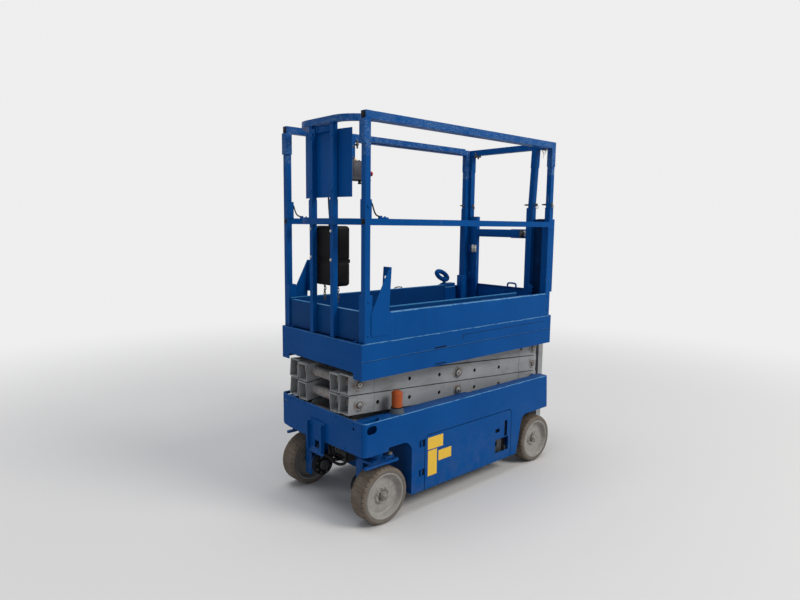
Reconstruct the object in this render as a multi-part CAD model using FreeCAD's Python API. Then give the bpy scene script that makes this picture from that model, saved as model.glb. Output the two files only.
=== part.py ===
import FreeCAD, Part
import math
import os

# Electric slab scissor lift, stowed, standing on its four solid tyres.
# Millimetres. +X points to the steered end, +Y to the left side, +Z up.
# The pieces are worked out with X = 0 half way between the axles, and save()
# moves them so that the origin is on the floor under the middle of the machine.

V = FreeCAD.Vector
os.makedirs("parts", exist_ok=True)

# Running clearances
pin_gap = 0.3            # pin in its bore, and a roller in its track
panel_gap = 5.0          # a door and the panel beside it
seat_gap = 0.3           # a sliding deck and its wear pads
swing_gap = 6.0          # pieces that turn past each other

# Wheels and axles
wheelbase = 1320.0
tyre_diameter = 305.0
tyre_width = 114.0
tyre_side_height = 29.0
tyre_shoulder = 7.0
wheel_proud = 2.0        # the wheels stand out past the side panels
spindle_radius = 20.0
hub_radius = 44.0
hub_cap_radius = 26.0
rim_dish_depth = 34.0
rim_wall = 7.0
rim_disc = 20.0
kingpin_inset = 90.0     # kingpin behind the wheel's outer face
kingpin_radius = 20.0
motor_radius = 62.0
knuckle_leg_gap = 6.0    # leg beside the tyre
knuckle_leg_sheet = 12.0
knuckle_leg_depth = 45.0
knuckle_leg_half = 60.0
motor_inboard = 108.0    # inner end of the drum, from the tyre's inner face
rear_drum_radius = 58.0
rear_drum_length = 76.0
rear_beam_half = 40.0

# Heights of the running gear, from the tyre up
knuckle_over_tyre = 13.0
knuckle_plate = 14.0
axle_over_plate = 18.0
axle_beam_height = 80.0
axle_beam_length = 110.0
axle_beam_wall = 8.0
kingpin_tube_radius = 40.0
kingpin_collar_radius = 28.0
link_pin_back = 100.0
link_pin_radius = 9.0
link_sheet = 12.0

# Scissor pack
rear_pin_back = 85.0     # rear pins behind the rear axle
front_pin_ahead = 91.25  # front pins ahead of the front axle
pin_over_floor = 100.0   # lowest pins over the floor of the well
level_rise = 106.0       # one pair of arms over the next
beam_height = 100.0
beam_width = 80.0
beam_wall = 5.0
inner_beam_y = 110.0     # inner face of the inner beams
beam_gap = 5.0
pin_radius = 20.0
boss_radius = 27.0
washer_radius = 33.0
washer_sheet = 3.0
pin_head = 8.0
beam_nose = 66.0
roller_nose = 40.0       # the beams that carry the rollers end short and round
beam_tail = 43.0
inner_tail = 47.0
lightening_radius = 11.0
lightening_steps = (155.0, 392.0)            # holes each side of the middle pin
end_lightening_step = 622.0                  # not in the second pair of arms
roller_radius = 25.0
roller_width = 36.0
track_gap = 10.0         # outer beams to the tracks
track_sheet = 6.0
lug_sheet = 12.0
eye_reach = 1200.0       # lift cylinder's upper eye, along the third inner arm
barrel_radius = 38.0
barrel_wall = 8.0
barrel_eye_radius = 42.0
rod_radius = 22.0
rod_eye_radius = 36.0
eye_half_width = 46.0
eye_boss_radius = 30.0

# Chassis
nose_cover = 56.75       # front panel ahead of the front pins
tail_cover = 15.0        # rear edge behind the rear pins
side_pocket = 62.0       # well wall to the outer face of the side panel
chassis_rise = 41.0      # top edge over the lowest pins
ground_clearance = 104.0
chassis_skin = 6.0
front_skin = 4.0
corner_bend = 26.0
well_wall = 6.0
arch_over_tyre = 107.0
front_edge_drop = 19.0   # the panel ahead of the arch hangs this far below it
arch_behind_axle = 184.0
arch_step_back = 18.0
arch_bend = 62.0
rear_arch_ahead = 211.0
rear_rise_ahead = 160.0
rear_arch_over_tyre = 47.0
rear_bend = 60.0
front_edge_sag = 7.0
tie_hole_back = 53.0     # oval hole behind the front panel
tie_hole_drop = 41.0     # and below the top edge
tie_hole_length = 66.0
tie_hole_height = 44.0
spine_half_width = 150.0
top_flange_back = 153.0
front_hole_radius = 8.0
front_hole_y = (-346.0, 303.0)

# Tow bracket on the front panel
tow_far_y = -90.0
tow_near_y = 56.0
tow_foot = 300.0
tow_top_drop = 79.0
tow_sheet = 6.0
tow_fold = 20.0
tow_hole = 44.0

# Swing-out trays
door_front_gap = 101.0   # door edge behind the front arch
door_rear_gap = 64.0
door_under_well = 20.0
door_corner = 26.0
tray_over_edge = 8.0
tray_sheet = 4.0
tray_wall_height = 70.0
tray_gap = 18.0          # tray to the belly box
tray_front_back = 20.0
tray_rear_ahead = 45.0
load_side_gap = 14.0
load_under_door = 38.0
hinge_ahead = 25.0       # hinge line ahead of the door's edge
hinge_inset = 8.0
hinge_barrel = 8.0
hinge_pin = 5.0
hinge_ear = 6.0
hinge_half = 20.0
upper_hinge_drop = 34.0
lower_hinge_rise = 106.0

# Ladder and beacon
ladder_reach = 195.0
ladder_half = 215.0
stile_width = 25.0
stile_depth = 50.0
ladder_foot = 190.0
ladder_top = 790.0
tread_count = 3
tread_from_end = 25.0
tread_sheet = 26.0
beacon_back = 111.0      # behind the front axle
beacon_inset = 44.0
beacon_radius = 29.0
beacon_foot_rim = 12.0
beacon_foot_height = 28.0
beacon_lens_height = 82.0
beacon_dome = 9.4

# Platform
deck_nose = 57.75        # front edge ahead of the front pins
deck_tail = 60.0
deck_inset = 19.0        # skirt inside the chassis side
deck_over_pin = 114.0
deck_sheet = 6.0
skirt_under_pin = 61.0
skirt_over_deck = 10.0
skirt_sheet = 4.0
skirt_notch = 33.0
skirt_tab = 68.0
toe_height = 150.0
toe_lip = 18.0
corner_set_back = 19.0   # front corner posts behind the deck's front edge
socket_size = 47.0       # sockets at the feet of the corner posts
socket_height = 244.0    # over the deck
post_size = 32.0
sleeve_size = 40.0
sleeve_wall = 3.0
tube_wall = 3.0
guard_height = 1127.0    # top rail over the deck
mid_height = 620.0
rail_size = 38.0
mid_rail_size = 33.0
left_post_ahead = 25.0   # rear corner posts, from the deck's rear edge
right_post_ahead = 60.0
rear_foot_size = 47.0
rear_sleeve_size = 38.0
rear_tube_size = 33.0
top_sleeve = 115.0
low_sleeve = 92.0
pad_inner_y = 285.0
pad_outer_y = 305.0
pad_rear_ahead = 105.0
deck_lift = 9.0          # sliding deck over the fixed one

blade_back = 58.0        # lock brackets on the toe panels, behind the deck's front edge
blade_foot = 108.0
blade_lean = 22.0
blade_top = 13.0
blade_sheet = 4.0
blade_flange = 60.0
blade_under_rail = 241.0
blade_hole_radius = 9.0

# Gate and the frame round it
frame_ahead = 20.0
frame_depth = 40.0
far_post_inset = 20.0
far_post_width = 36.0
gate_post_gap = 4.0
near_post_width = 34.0
near_post_top_y = 228.0
near_post_foot_y = 207.0
near_foot_width = 46.0
corner_panel_top = 638.0
gate_post_width = 62.0
gate_thickness = 32.0
gate_post_top = 653.0
gate_bar_top = 562.0
gate_bar_height = 42.0
gate_bar_end_y = 164.0
gate_end_y = 148.0
gate_end_width = 30.0
gate_toe_over = 16.0
gate_rise = 20.0         # lower edge over the skirt's top
gate_hinge_radius = 6.0
gate_hinge_pin = 3.0
gate_hinge_half = 27.0
gate_hinge_heights = (225.0, 425.0)

# Sliding deck and what stands on it
slide_side_gap = 7.0     # between its side plates and the posts
slide_nose = 27.0        # its front sheet behind the deck's front edge
slide_tail = 315.0       # its rear edge ahead of the fixed deck's
slide_sheet = 4.0
slide_floor = 5.0
slide_toe_height = 172.0
nose_toe_drop = 12.0
lip_depth = 24.0
hoop_size = 32.0
hoop_reach = 35.0        # front of the bowed tubes ahead of the front sheet
hoop_far_corner = 173.0
hoop_near_corner = 223.0
hoop_turn = 60.0         # degrees that the tube turns at each front corner
hoop_front_bend = 144.0
hoop_side_bend = 80.0
hoop_length = 1422.0
shoe_length = 40.0
front_posts_y = ((-79.0, -51.0), (107.0, 135.0))
front_post_depth = 28.0
front_sleeve = 95.0
shield_y = (-184.0, -55.0, 101.0, 227.0)
shield_wing = 20.0
shield_height = 338.0
shield_drop = 62.0
box_depth = 90.0
box_y = (-80.0, 127.0)
box_under_rail = 38.0
box_height = 315.0
box_corner = 24.0
control_back = 342.0
control_length = 135.0
control_depth = 90.0
control_drop = 167.0
control_height = 106.0
hanger_ahead = 43.0
hanger_width = 25.0
hanger_sheet = 3.0

# Widths, from the middle out
outer_beam_y = inner_beam_y + beam_width + beam_gap
outer_face_y = outer_beam_y + beam_width
track_y = outer_face_y + track_gap
well_half = track_y + roller_width + 5.0
chassis_half = well_half + side_pocket
panel_inner = chassis_half - chassis_skin
wheel_outer_face = chassis_half + wheel_proud
wheel_inner_face = wheel_outer_face - tyre_width
wheel_middle_y = wheel_outer_face - tyre_width / 2
kingpin_y = wheel_outer_face - kingpin_inset
deck_half = chassis_half - deck_inset
post_low_y = deck_half - socket_size
slide_half = post_low_y - slide_side_gap

# Lengths
axle_front_x = wheelbase / 2
axle_rear_x = -wheelbase / 2
rear_pin_x = axle_rear_x - rear_pin_back
front_pin_x = axle_front_x + front_pin_ahead
rest_angle = math.atan2(level_rise, front_pin_x - rear_pin_x)
arm_length = math.hypot(level_rise, front_pin_x - rear_pin_x)
chassis_front_x = front_pin_x + nose_cover
chassis_rear_x = rear_pin_x - tail_cover
arch_rear_x = axle_front_x - arch_behind_axle
arch_step_x = axle_front_x - arch_step_back
rear_arch_x = axle_rear_x + rear_arch_ahead
door_front_x = arch_rear_x - door_front_gap
door_rear_x = rear_arch_x + door_rear_gap
hinge_x = door_front_x + hinge_ahead
hinge_y = chassis_half - hinge_inset
deck_front_x = front_pin_x + deck_nose
deck_rear_x = rear_pin_x - deck_tail
corner_front_x = deck_front_x - corner_set_back
front_post_x = deck_front_x - slide_nose
slide_rear_x = deck_rear_x + slide_tail
hoop_front_x = front_post_x + hoop_reach
hoop_rear_x = front_post_x - hoop_length
left_post_x = deck_rear_x + left_post_ahead
right_post_x = deck_rear_x + right_post_ahead
frame_x = deck_rear_x + frame_ahead
ladder_rear_x = chassis_rear_x - ladder_reach
bracket_front_x = chassis_front_x + tow_sheet + tow_fold
track_rear_x = rear_pin_x + arm_length * 0.46

# Heights
axle_height = tyre_diameter / 2
plate_low = tyre_diameter + knuckle_over_tyre
plate_high = plate_low + knuckle_plate
axle_beam_low = plate_high + axle_over_plate
well_floor = axle_beam_low + axle_beam_height
first_pin_z = well_floor + pin_over_floor
chassis_top = first_pin_z + chassis_rise
arch_top = tyre_diameter + arch_over_tyre
side_front_bottom = arch_top - front_edge_drop
rear_arch_top = tyre_diameter + rear_arch_over_tyre
door_top = well_floor - door_under_well
tray_floor = ground_clearance + tray_over_edge
load_top = door_top - load_under_door
hinge_heights = (door_top - upper_hinge_drop, ground_clearance + lower_hinge_rise)


def pin_z(level):
    return first_pin_z + level_rise * level


skirt_bottom = pin_z(3) - skirt_under_pin
deck_underside = pin_z(3) + deck_over_pin
skirt_top = deck_underside + skirt_over_deck
deck_top = deck_underside + deck_sheet
toe_top = skirt_top + toe_height
rail_top = deck_top + guard_height
mid_rail_top = deck_top + mid_height
rail_low = rail_top - rail_size
mid_rail_low = mid_rail_top - mid_rail_size
slide_low = deck_top + deck_lift
slide_toe_top = deck_top + slide_toe_height
far_post_y = -deck_half + far_post_inset
gate_hinge_y = far_post_y + far_post_width + gate_post_gap / 2
gate_hinge_x = frame_x + frame_depth + gate_hinge_radius

origin_shift = -(bracket_front_x + ladder_rear_x) / 2


# Shapes that the pieces share

def box(x0, x1, y0, y1, z0, z1):
    return Part.makeBox(x1 - x0, y1 - y0, z1 - z0, V(x0, y0, z0))


def rod_y(x, z, r, y0, y1):
    return Part.makeCylinder(r, y1 - y0, V(x, y0, z), V(0, 1, 0))


def rod_z(x, y, r, z0, z1):
    return Part.makeCylinder(r, z1 - z0, V(x, y, z0), V(0, 0, 1))


def rod_x(y, z, r, x0, x1):
    return Part.makeCylinder(r, x1 - x0, V(x0, y, z), V(1, 0, 0))


def mirrored(shape):
    return shape.mirror(V(0, 0, 0), V(0, 1, 0))


def both(shape):
    return [shape, mirrored(shape)]


def fuse(shapes):
    first = shapes[0]
    if len(shapes) > 1:
        first = first.fuse(shapes[1:])
    return first.removeSplitter()


def outline(corners):
    # corners: (a, b, bend radius); returns the edges of the closed outline
    count = len(corners)
    runs = []
    for i in range(count):
        ax, az, _ = corners[i - 1]
        bx, bz, r = corners[i]
        cx, cz, _ = corners[(i + 1) % count]
        here = V(bx, 0, bz)
        back = (V(ax, 0, az) - here).normalize()
        ahead = (V(cx, 0, cz) - here).normalize()
        if r == 0:
            runs.append((here, here, None))
            continue
        half = back.getAngle(ahead) / 2
        reach = r / math.tan(half)
        middle = here + (back + ahead).normalize() * (r / math.sin(half))
        inside = middle + (here - middle).normalize() * r
        runs.append((here + back * reach, here + ahead * reach, inside))
    edges = []
    for i in range(count):
        start, stop, inside = runs[i]
        if inside is not None:
            edges.append(Part.Arc(start, inside, stop).toShape())
        following = runs[(i + 1) % count][0]
        if (following - stop).Length > 1e-6:
            edges.append(Part.LineSegment(stop, following).toShape())
    return edges


def plate_xz(corners, y0, y1):
    face = Part.Face(Part.Wire(outline(corners)))
    face.translate(V(0, y0, 0))
    return face.extrude(V(0, y1 - y0, 0))


def plate_yz(corners, x0, x1):
    shape = plate_xz(corners, 0, x1 - x0)
    shape.rotate(V(0, 0, 0), V(0, 0, 1), -90)
    shape = shape.mirror(V(0, 0, 0), V(0, 1, 0))
    shape.translate(V(x0, 0, 0))
    return shape


def plate_xy(corners, z0, z1):
    shape = plate_xz(corners, 0, z1 - z0)
    shape.rotate(V(0, 0, 0), V(1, 0, 0), 90)
    shape = shape.mirror(V(0, 0, 0), V(0, 1, 0))
    shape.translate(V(0, 0, z0 - shape.BoundBox.ZMin))
    return shape


def square_tube(x0, x1, y0, y1, z0, z1, wall, along):
    # a hollow tube, open at both ends along one axis
    insets = {"x": (-1, wall, wall), "y": (wall, -1, wall), "z": (wall, wall, -1)}
    a, b, c = insets[along]
    hollow = box(x0 + a, x1 - a, y0 + b, y1 - b, z0 + c, z1 - c)
    return box(x0, x1, y0, y1, z0, z1).cut(hollow)


def save(name, shapes):
    if not isinstance(shapes, list):
        shapes = [shapes]
    solids = []
    for shape in shapes:
        solids.extend(shape.Solids)
    moved = Part.makeCompound(solids) if len(solids) > 1 else solids[0]
    moved = moved.copy()
    moved.translate(V(origin_shift, 0, 0))
    moved.exportStep("parts/" + name + ".step")
    for solid in solids:
        if not solid.isValid():
            print("not valid:", name)
    print(name, len(solids), round(sum(s.Volume for s in solids) / 1e6, 2), "litres")


# Chassis panels

def chassis_side():
    tail_slope = 14.0
    shape = plate_xz([
        (chassis_front_x - corner_bend, side_front_bottom, 0),
        (arch_step_x, side_front_bottom, 0),
        (arch_step_x, arch_top, 4),
        (arch_rear_x, arch_top, arch_bend),
        (arch_rear_x, ground_clearance, 0),
        (rear_arch_x, ground_clearance, 0),
        (axle_rear_x + rear_rise_ahead, rear_arch_top, rear_bend),
        (chassis_rear_x - tail_slope, rear_arch_top, 6),
        (chassis_rear_x, chassis_top, 8),
        (chassis_front_x - corner_bend, chassis_top, 0),
    ], panel_inner, chassis_half)
    # the front corner, bent round to meet the front panel
    middle = V(chassis_front_x - corner_bend, chassis_half - corner_bend, side_front_bottom)
    tall = chassis_top - side_front_bottom
    bend = Part.makeCylinder(corner_bend, tall, middle, V(0, 0, 1), 90)
    bend = bend.cut(Part.makeCylinder(corner_bend - chassis_skin, tall, middle, V(0, 0, 1)))
    flange_front = chassis_front_x - top_flange_back
    flange = plate_xy([
        (chassis_rear_x, well_half, 0),
        (chassis_rear_x, panel_inner, 0),
        (flange_front + panel_inner - well_half, panel_inner, 0),
        (flange_front, well_half, 0),
    ], chassis_top - chassis_skin, chassis_top)
    shape = fuse([shape, bend, flange])
    door = plate_xz([
        (door_front_x + panel_gap, ground_clearance - 1, 0),
        (door_rear_x - panel_gap, ground_clearance - 1, 0),
        (door_rear_x - panel_gap, door_top + panel_gap, door_corner + panel_gap),
        (door_front_x + panel_gap, door_top + panel_gap, door_corner + panel_gap),
    ], panel_inner - 1, chassis_half + 1)
    shape = shape.cut(door)
    mid_x = chassis_front_x - tie_hole_back
    mid_z = chassis_top - tie_hole_drop
    x0, x1 = mid_x - tie_hole_length / 2, mid_x + tie_hole_length / 2
    z0, z1 = mid_z - tie_hole_height / 2, mid_z + tie_hole_height / 2
    round_end = tie_hole_height / 2 - 1
    slot = plate_xz([(x0, z0, round_end), (x1, z0, round_end), (x1, z1, round_end),
                     (x0, z1, round_end)], panel_inner - 1, chassis_half + 1)
    shape = shape.cut(slot)
    # hinge notches, each with a pin between two ears for the tray door
    extra = []
    for z in hinge_heights:
        low, high = z - hinge_half, z + hinge_half
        notch = box(door_front_x, hinge_x + hinge_half, panel_inner - 1, chassis_half + 1, low, high)
        shape = shape.cut(notch)
        extra.append(rod_z(hinge_x, hinge_y, hinge_pin, low, high))
        for ear in (low - hinge_ear, high):
            extra.append(box(hinge_x - hinge_barrel, hinge_x + 12, hinge_y - 10, panel_inner + 1,
                             ear, ear + hinge_ear))
    return fuse([shape] + extra)


def chassis_front():
    flat = chassis_half - corner_bend
    shape = plate_yz([
        (-flat, side_front_bottom - front_edge_sag, 0),
        (-kingpin_y, side_front_bottom - 2 * front_edge_sag, 0),
        (flat, side_front_bottom, 0),
        (flat, chassis_top, 0),
        (-flat, chassis_top, 0),
    ], chassis_front_x - front_skin, chassis_front_x)
    for y in front_hole_y:
        hole_z = chassis_top - 44
        shape = shape.cut(rod_x(y, hole_z, front_hole_radius, chassis_front_x - 10,
                                chassis_front_x + 1))
    return shape


def tow_bracket():
    # a folded channel on the front panel, tapered to its foot, with a square hole
    top = chassis_top - tow_top_drop
    face = chassis_front_x + tow_sheet
    back = plate_yz([
        (tow_far_y + 13, tow_foot, 14), (tow_near_y - 12, tow_foot, 14),
        (tow_near_y, top, 4), (tow_far_y, top, 4),
    ], chassis_front_x, face)
    fold_low, fold_high = tow_foot + 22, top - 14
    fold_far = box(face, bracket_front_x, tow_far_y + 5, tow_far_y + 5 + tow_sheet, fold_low, fold_high)
    fold_near = box(face, bracket_front_x, tow_near_y - 5 - tow_sheet, tow_near_y - 5,
                    fold_low, fold_high)
    shape = fuse([back, fold_far, fold_near])
    middle = (tow_far_y + tow_near_y) / 2
    hole = box(chassis_front_x - 1, face + 1, middle - tow_hole / 2, middle + tow_hole / 2,
               tow_foot + 35, tow_foot + 35 + tow_hole)
    return shape.cut(hole)


spine_rear_x = rear_arch_x + 4.0
spine_front_x = arch_rear_x - 8.0


def chassis_spine():
    # the belly box between the trays
    half = chassis_skin / 2
    return square_tube(spine_rear_x + half, spine_front_x - half, -spine_half_width,
                       spine_half_width, ground_clearance, well_floor, chassis_skin, "x")


def cross_walls():
    # the walls at the ends of the belly box, which carry the side panels
    half = chassis_skin / 2
    walls = []
    for x in (spine_rear_x, spine_front_x):
        walls.append(box(x - half, x + half, -panel_inner, panel_inner, ground_clearance, well_floor))
    return walls


def scissor_well():
    # the well's floor with the lugs that hold the lowest rear pins
    floor = box(chassis_rear_x, chassis_front_x - front_skin, -well_half, well_half,
                well_floor, well_floor + well_wall)
    top = well_floor + well_wall
    shapes = [floor]
    for y0 in (outer_face_y + beam_gap, outer_beam_y - beam_gap - lug_sheet):
        lug = plate_xz([
            (rear_pin_x - tail_cover, top, 0),
            (rear_pin_x + 60, top, 0),
            (rear_pin_x + 30, first_pin_z + 32, 28),
            (rear_pin_x - 30, first_pin_z + 32, 28),
            (rear_pin_x - 30, first_pin_z - 20, 0),
        ], y0, y0 + lug_sheet)
        lug = lug.cut(rod_y(rear_pin_x, first_pin_z, pin_radius + pin_gap, y0 - 1, y0 + lug_sheet + 1))
        shapes.extend(both(lug))
    return fuse(shapes)


def track_pair(pin_height, x0, x1):
    # a ledge and a roof that hold a roller between them
    low = pin_height - roller_radius - pin_gap
    high = pin_height + roller_radius + pin_gap
    ledge = box(x0, x1, track_y, well_half, low - track_sheet, low)
    roof = box(x0, x1, track_y, well_half, high, high + track_sheet)
    return [ledge, roof]


def well_side():
    front = chassis_front_x - front_skin
    wall = box(chassis_rear_x, front, well_half, well_half + well_wall, well_floor,
               chassis_top - chassis_skin)
    return fuse([wall] + track_pair(pin_z(0), track_rear_x, front - 12))


def chassis_rear():
    return box(chassis_rear_x, chassis_rear_x + chassis_skin, -panel_inner, panel_inner,
               rear_arch_top, well_floor)


def front_axle():
    half = axle_beam_length / 2
    beam = square_tube(axle_front_x - half, axle_front_x + half, -kingpin_y, kingpin_y,
                       axle_beam_low, well_floor, axle_beam_wall, "y")
    shapes = [beam]
    for y in (kingpin_y, -kingpin_y):
        shapes.append(rod_z(axle_front_x, y, kingpin_tube_radius, axle_beam_low, well_floor))
    shape = fuse(shapes)
    for y in (kingpin_y, -kingpin_y):
        shape = shape.cut(rod_z(axle_front_x, y, kingpin_radius + pin_gap, axle_beam_low - 1,
                                well_floor - 1))
    return shape


def rear_axle():
    beam_end = wheel_inner_face - rear_drum_length
    beam = box(axle_rear_x - rear_beam_half, axle_rear_x + rear_beam_half, -beam_end, beam_end,
               axle_height - rear_beam_half, axle_height + rear_beam_half)
    shapes = [beam]
    foot = axle_height
    hanger = plate_xz([
        (axle_rear_x - rear_beam_half, foot, 0), (axle_rear_x + rear_beam_half, foot, 0),
        (axle_rear_x + 90, well_floor, 0), (axle_rear_x - 90, well_floor, 0),
    ], beam_end - 30, beam_end - 30 + lug_sheet)
    shapes.extend(both(hanger))
    spindle = rod_y(axle_rear_x, axle_height, spindle_radius, beam_end,
                    wheel_outer_face - rim_dish_depth - 14)
    drum = rod_y(axle_rear_x, axle_height, rear_drum_radius, beam_end, wheel_inner_face - 8)
    shapes.extend(both(spindle) + both(drum))
    return fuse(shapes)


def ladder():
    # two flat stiles and three treads, held off the rear on brackets
    inner = ladder_half - stile_width
    shapes = []
    stile = box(ladder_rear_x, ladder_rear_x + stile_depth, inner, ladder_half, ladder_foot, ladder_top)
    arm_low = rear_arch_top + 33
    arm = box(ladder_rear_x + stile_depth, chassis_rear_x, inner, ladder_half, arm_low, arm_low + 40)
    shapes.extend(both(stile) + both(arm))
    lowest = ladder_foot + tread_from_end
    highest = ladder_top - tread_from_end * 1.6 - tread_sheet
    for i in range(tread_count):
        z = lowest + (highest - lowest) * i / (tread_count - 1)
        shapes.append(box(ladder_rear_x + 4, ladder_rear_x + stile_depth - 4, -inner, inner,
                          z, z + tread_sheet))
    return fuse(shapes)


def beacon_parts():
    x, y = axle_front_x - beacon_back, chassis_half - beacon_inset
    lens_low = chassis_top + beacon_foot_height
    lens_high = lens_low + beacon_lens_height
    foot = Part.makeCone(beacon_radius + beacon_foot_rim, beacon_radius + 3, beacon_foot_height,
                         V(x, y, chassis_top))
    # a short drum, drawn in towards its slightly domed cap
    lens = Part.makeCylinder(beacon_radius, beacon_lens_height, V(x, y, lens_low))
    cap = Part.makeCone(beacon_radius, beacon_radius * 0.6, beacon_dome, V(x, y, lens_high))
    return foot, fuse([lens, cap])


# Trays

def tray_door():
    door = plate_xz([
        (door_front_x, ground_clearance, 0),
        (door_rear_x, ground_clearance, 0),
        (door_rear_x, door_top, door_corner),
        (door_front_x, door_top, door_corner),
    ], panel_inner, chassis_half)
    # latch slot, small slot and the socket hole: ahead of the rear edge, length, low, height
    for ahead, length, low, height in ((36, 28, 143, 103), (111, 42, 183, 24), (23, 128, 52, 87)):
        x0 = door_rear_x + ahead
        z0 = ground_clearance + low
        door = door.cut(box(x0, x0 + length, panel_inner - 1, chassis_half + 1, z0, z0 + height))
    shapes = [door]
    for z in hinge_heights:
        low, high = z - hinge_half + 4, z + hinge_half - 4
        shapes.append(box(door_front_x - 30, hinge_x - 4, panel_inner - 6, panel_inner, low, high))
        shapes.append(rod_z(hinge_x, hinge_y, hinge_barrel, low, high))
    shape = fuse(shapes)
    for z in hinge_heights:
        shape = shape.cut(rod_z(hinge_x, hinge_y, hinge_pin + pin_gap, z - hinge_half, z + hinge_half))
    return shape


tray_inner_y = spine_half_width + tray_gap
tray_rear_x = door_rear_x + tray_rear_ahead
tray_front_x = door_front_x - tray_front_back


def tray_pan():
    pan = box(tray_rear_x, tray_front_x, tray_inner_y, panel_inner, tray_floor,
              tray_floor + tray_wall_height)
    hollow = box(tray_rear_x + tray_sheet, tray_front_x - tray_sheet, tray_inner_y + tray_sheet,
                 panel_inner + 1, tray_floor + tray_sheet, tray_floor + tray_wall_height + 1)
    return pan.cut(hollow)


def tray_load():
    return box(tray_rear_x + load_side_gap, tray_front_x - load_side_gap,
               tray_inner_y + load_side_gap, panel_inner - load_side_gap,
               tray_floor + tray_sheet, load_top)


# Steering and wheels

def knuckle():
    # a channel leg beside the tyre, a plate over it, the kingpin and the steering arm
    x = axle_front_x
    half = knuckle_leg_half
    inner = half - knuckle_leg_sheet * 0.7
    face_y = wheel_inner_face - knuckle_leg_gap
    web_y = face_y - knuckle_leg_sheet
    leg_y = web_y - knuckle_leg_depth
    leg = plate_xy([
        (x - half, leg_y, 0), (x - half, face_y, 0), (x + half, face_y, 0), (x + half, leg_y, 0),
        (x + inner, leg_y, 0), (x + inner, web_y, 0), (x - inner, web_y, 0), (x - inner, leg_y, 0),
    ], axle_height - half, plate_low)
    top = plate_xy([
        (x - half, leg_y, 0), (x + half, leg_y, 20), (x + half, kingpin_y + 60, 16),
        (x - half, kingpin_y + 60, 16), (x - half, kingpin_y + 22, 0),
        (x - link_pin_back - 22, kingpin_y + 22, 20), (x - link_pin_back - 22, kingpin_y - 22, 20),
        (x - half, kingpin_y - 22, 0),
    ], plate_low, plate_high)
    # the flat bar along the plate's outer edge, over the tyre
    bar = plate_xy([
        (x - 103, kingpin_y + 54, 8), (x + 126, kingpin_y + 54, 8),
        (x + 126, kingpin_y + 76, 8), (x - 103, kingpin_y + 76, 8),
    ], plate_low + 2, plate_high)
    pin = rod_z(x, kingpin_y, kingpin_radius, plate_high, well_floor - 6)
    collar = rod_z(x, kingpin_y, kingpin_collar_radius, plate_high, axle_beam_low - 1)
    spindle = rod_y(x, axle_height, spindle_radius, web_y, wheel_outer_face - rim_dish_depth - 14)
    motor = rod_y(x, axle_height, motor_radius, wheel_inner_face - motor_inboard, web_y)
    link_pin = rod_z(x - link_pin_back, kingpin_y, link_pin_radius, plate_high,
                     plate_high + link_sheet + 2)
    return fuse([leg, top, bar, pin, collar, spindle, motor, link_pin])


def tie_bar():
    low = plate_high + pin_gap
    x = axle_front_x - link_pin_back
    end = kingpin_y + 16
    bar = plate_xy([
        (x - 15, -end, 14), (x + 15, -end, 14), (x + 15, end, 14), (x - 15, end, 14),
    ], low, low + link_sheet)
    for y in (kingpin_y, -kingpin_y):
        bar = bar.cut(rod_z(x, y, link_pin_radius + pin_gap, low - 1, low + link_sheet + 1))
    return bar


def turned(profile, x):
    # turns an outline of (radius, across) round the wheel's axis and sets it in place
    solid = Part.Face(Part.Wire(outline(profile))).revolve(V(0, 0, 0), V(0, 0, 1), 360)
    solid.rotate(V(0, 0, 0), V(1, 0, 0), -90)
    solid.translate(V(x, wheel_middle_y, axle_height))
    return solid


def tyre(x):
    r = tyre_diameter / 2
    s = tyre_shoulder
    h = tyre_width / 2
    inner_r = r - tyre_side_height
    return turned([
        (inner_r, -h + 2, 0), (r - 2 * s, -h, 0), (r - s / 2, -h + s, 0), (r, -h + 2 * s, 0),
        (r, h - 2 * s, 0), (r - s / 2, h - s, 0), (r - 2 * s, h, 0), (inner_r, h - 2, 0),
    ], x)


def rim(x):
    # a barrel with a deep dish, a raised hub, a cap and the bore for the spindle
    r = tyre_diameter / 2 - tyre_side_height
    h = tyre_width / 2
    face = h - rim_dish_depth
    bore = spindle_radius + pin_gap
    bead = r - rim_wall
    return turned([
        (bore, face - rim_disc, 0), (bead - 4, face - rim_disc, 0), (bead, face - rim_disc - 4, 0),
        (bead, -h + 6, 0), (r, -h + 2, 0), (r, h - 3, 0), (bead + 2, h - 1, 0), (bead - 2, h - 3, 0),
        (bead - 12, face + 6, 0), (bead - 20, face, 0), (hub_radius + 8, face, 0),
        (hub_radius, face + 8, 0), (hub_cap_radius, face + 8, 0), (hub_cap_radius, face + 16, 0),
        (0, face + 16, 0), (0, face, 0), (bore, face, 0),
    ], x)


# Scissor arms

def tilt(shape, x, z, angle):
    shape.rotate(V(x, 0, z), V(0, -1, 0), math.degrees(angle))
    return shape


def beam(y0, tail, nose, bores, round_tail=False, round_nose=False):
    # one hollow beam along +X from its rear pin at the origin, with a boss at each pin
    h = beam_height / 2
    rear_round = min(tail, h) - 1 if round_tail else 0
    front_round = min(nose, h) - 1 if round_nose else 0
    outer = plate_xz([
        (-tail, -h, rear_round), (arm_length + nose, -h, front_round),
        (arm_length + nose, h, front_round), (-tail, h, rear_round),
    ], y0, y0 + beam_width)
    hollow = box(-tail - 1, arm_length + nose + 1, y0 + beam_wall, y0 + beam_width - beam_wall,
                 -h + beam_wall, h - beam_wall)
    shape = outer.cut(hollow)
    bosses = [rod_y(x, 0, boss_radius, y0, y0 + beam_width) for x in (0, arm_length / 2, arm_length)]
    shape = shape.fuse(bosses)
    for x, r in bores:
        shape = shape.cut(rod_y(x, 0, r, y0 - 1, y0 + beam_width + 1))
    return shape.removeSplitter()


def shaft(x, reach, r=pin_radius):
    return rod_y(x, 0, r, -reach, reach)


def stub(x, y0, y1, r=pin_radius):
    return both(rod_y(x, 0, r, y0, y1))


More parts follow.
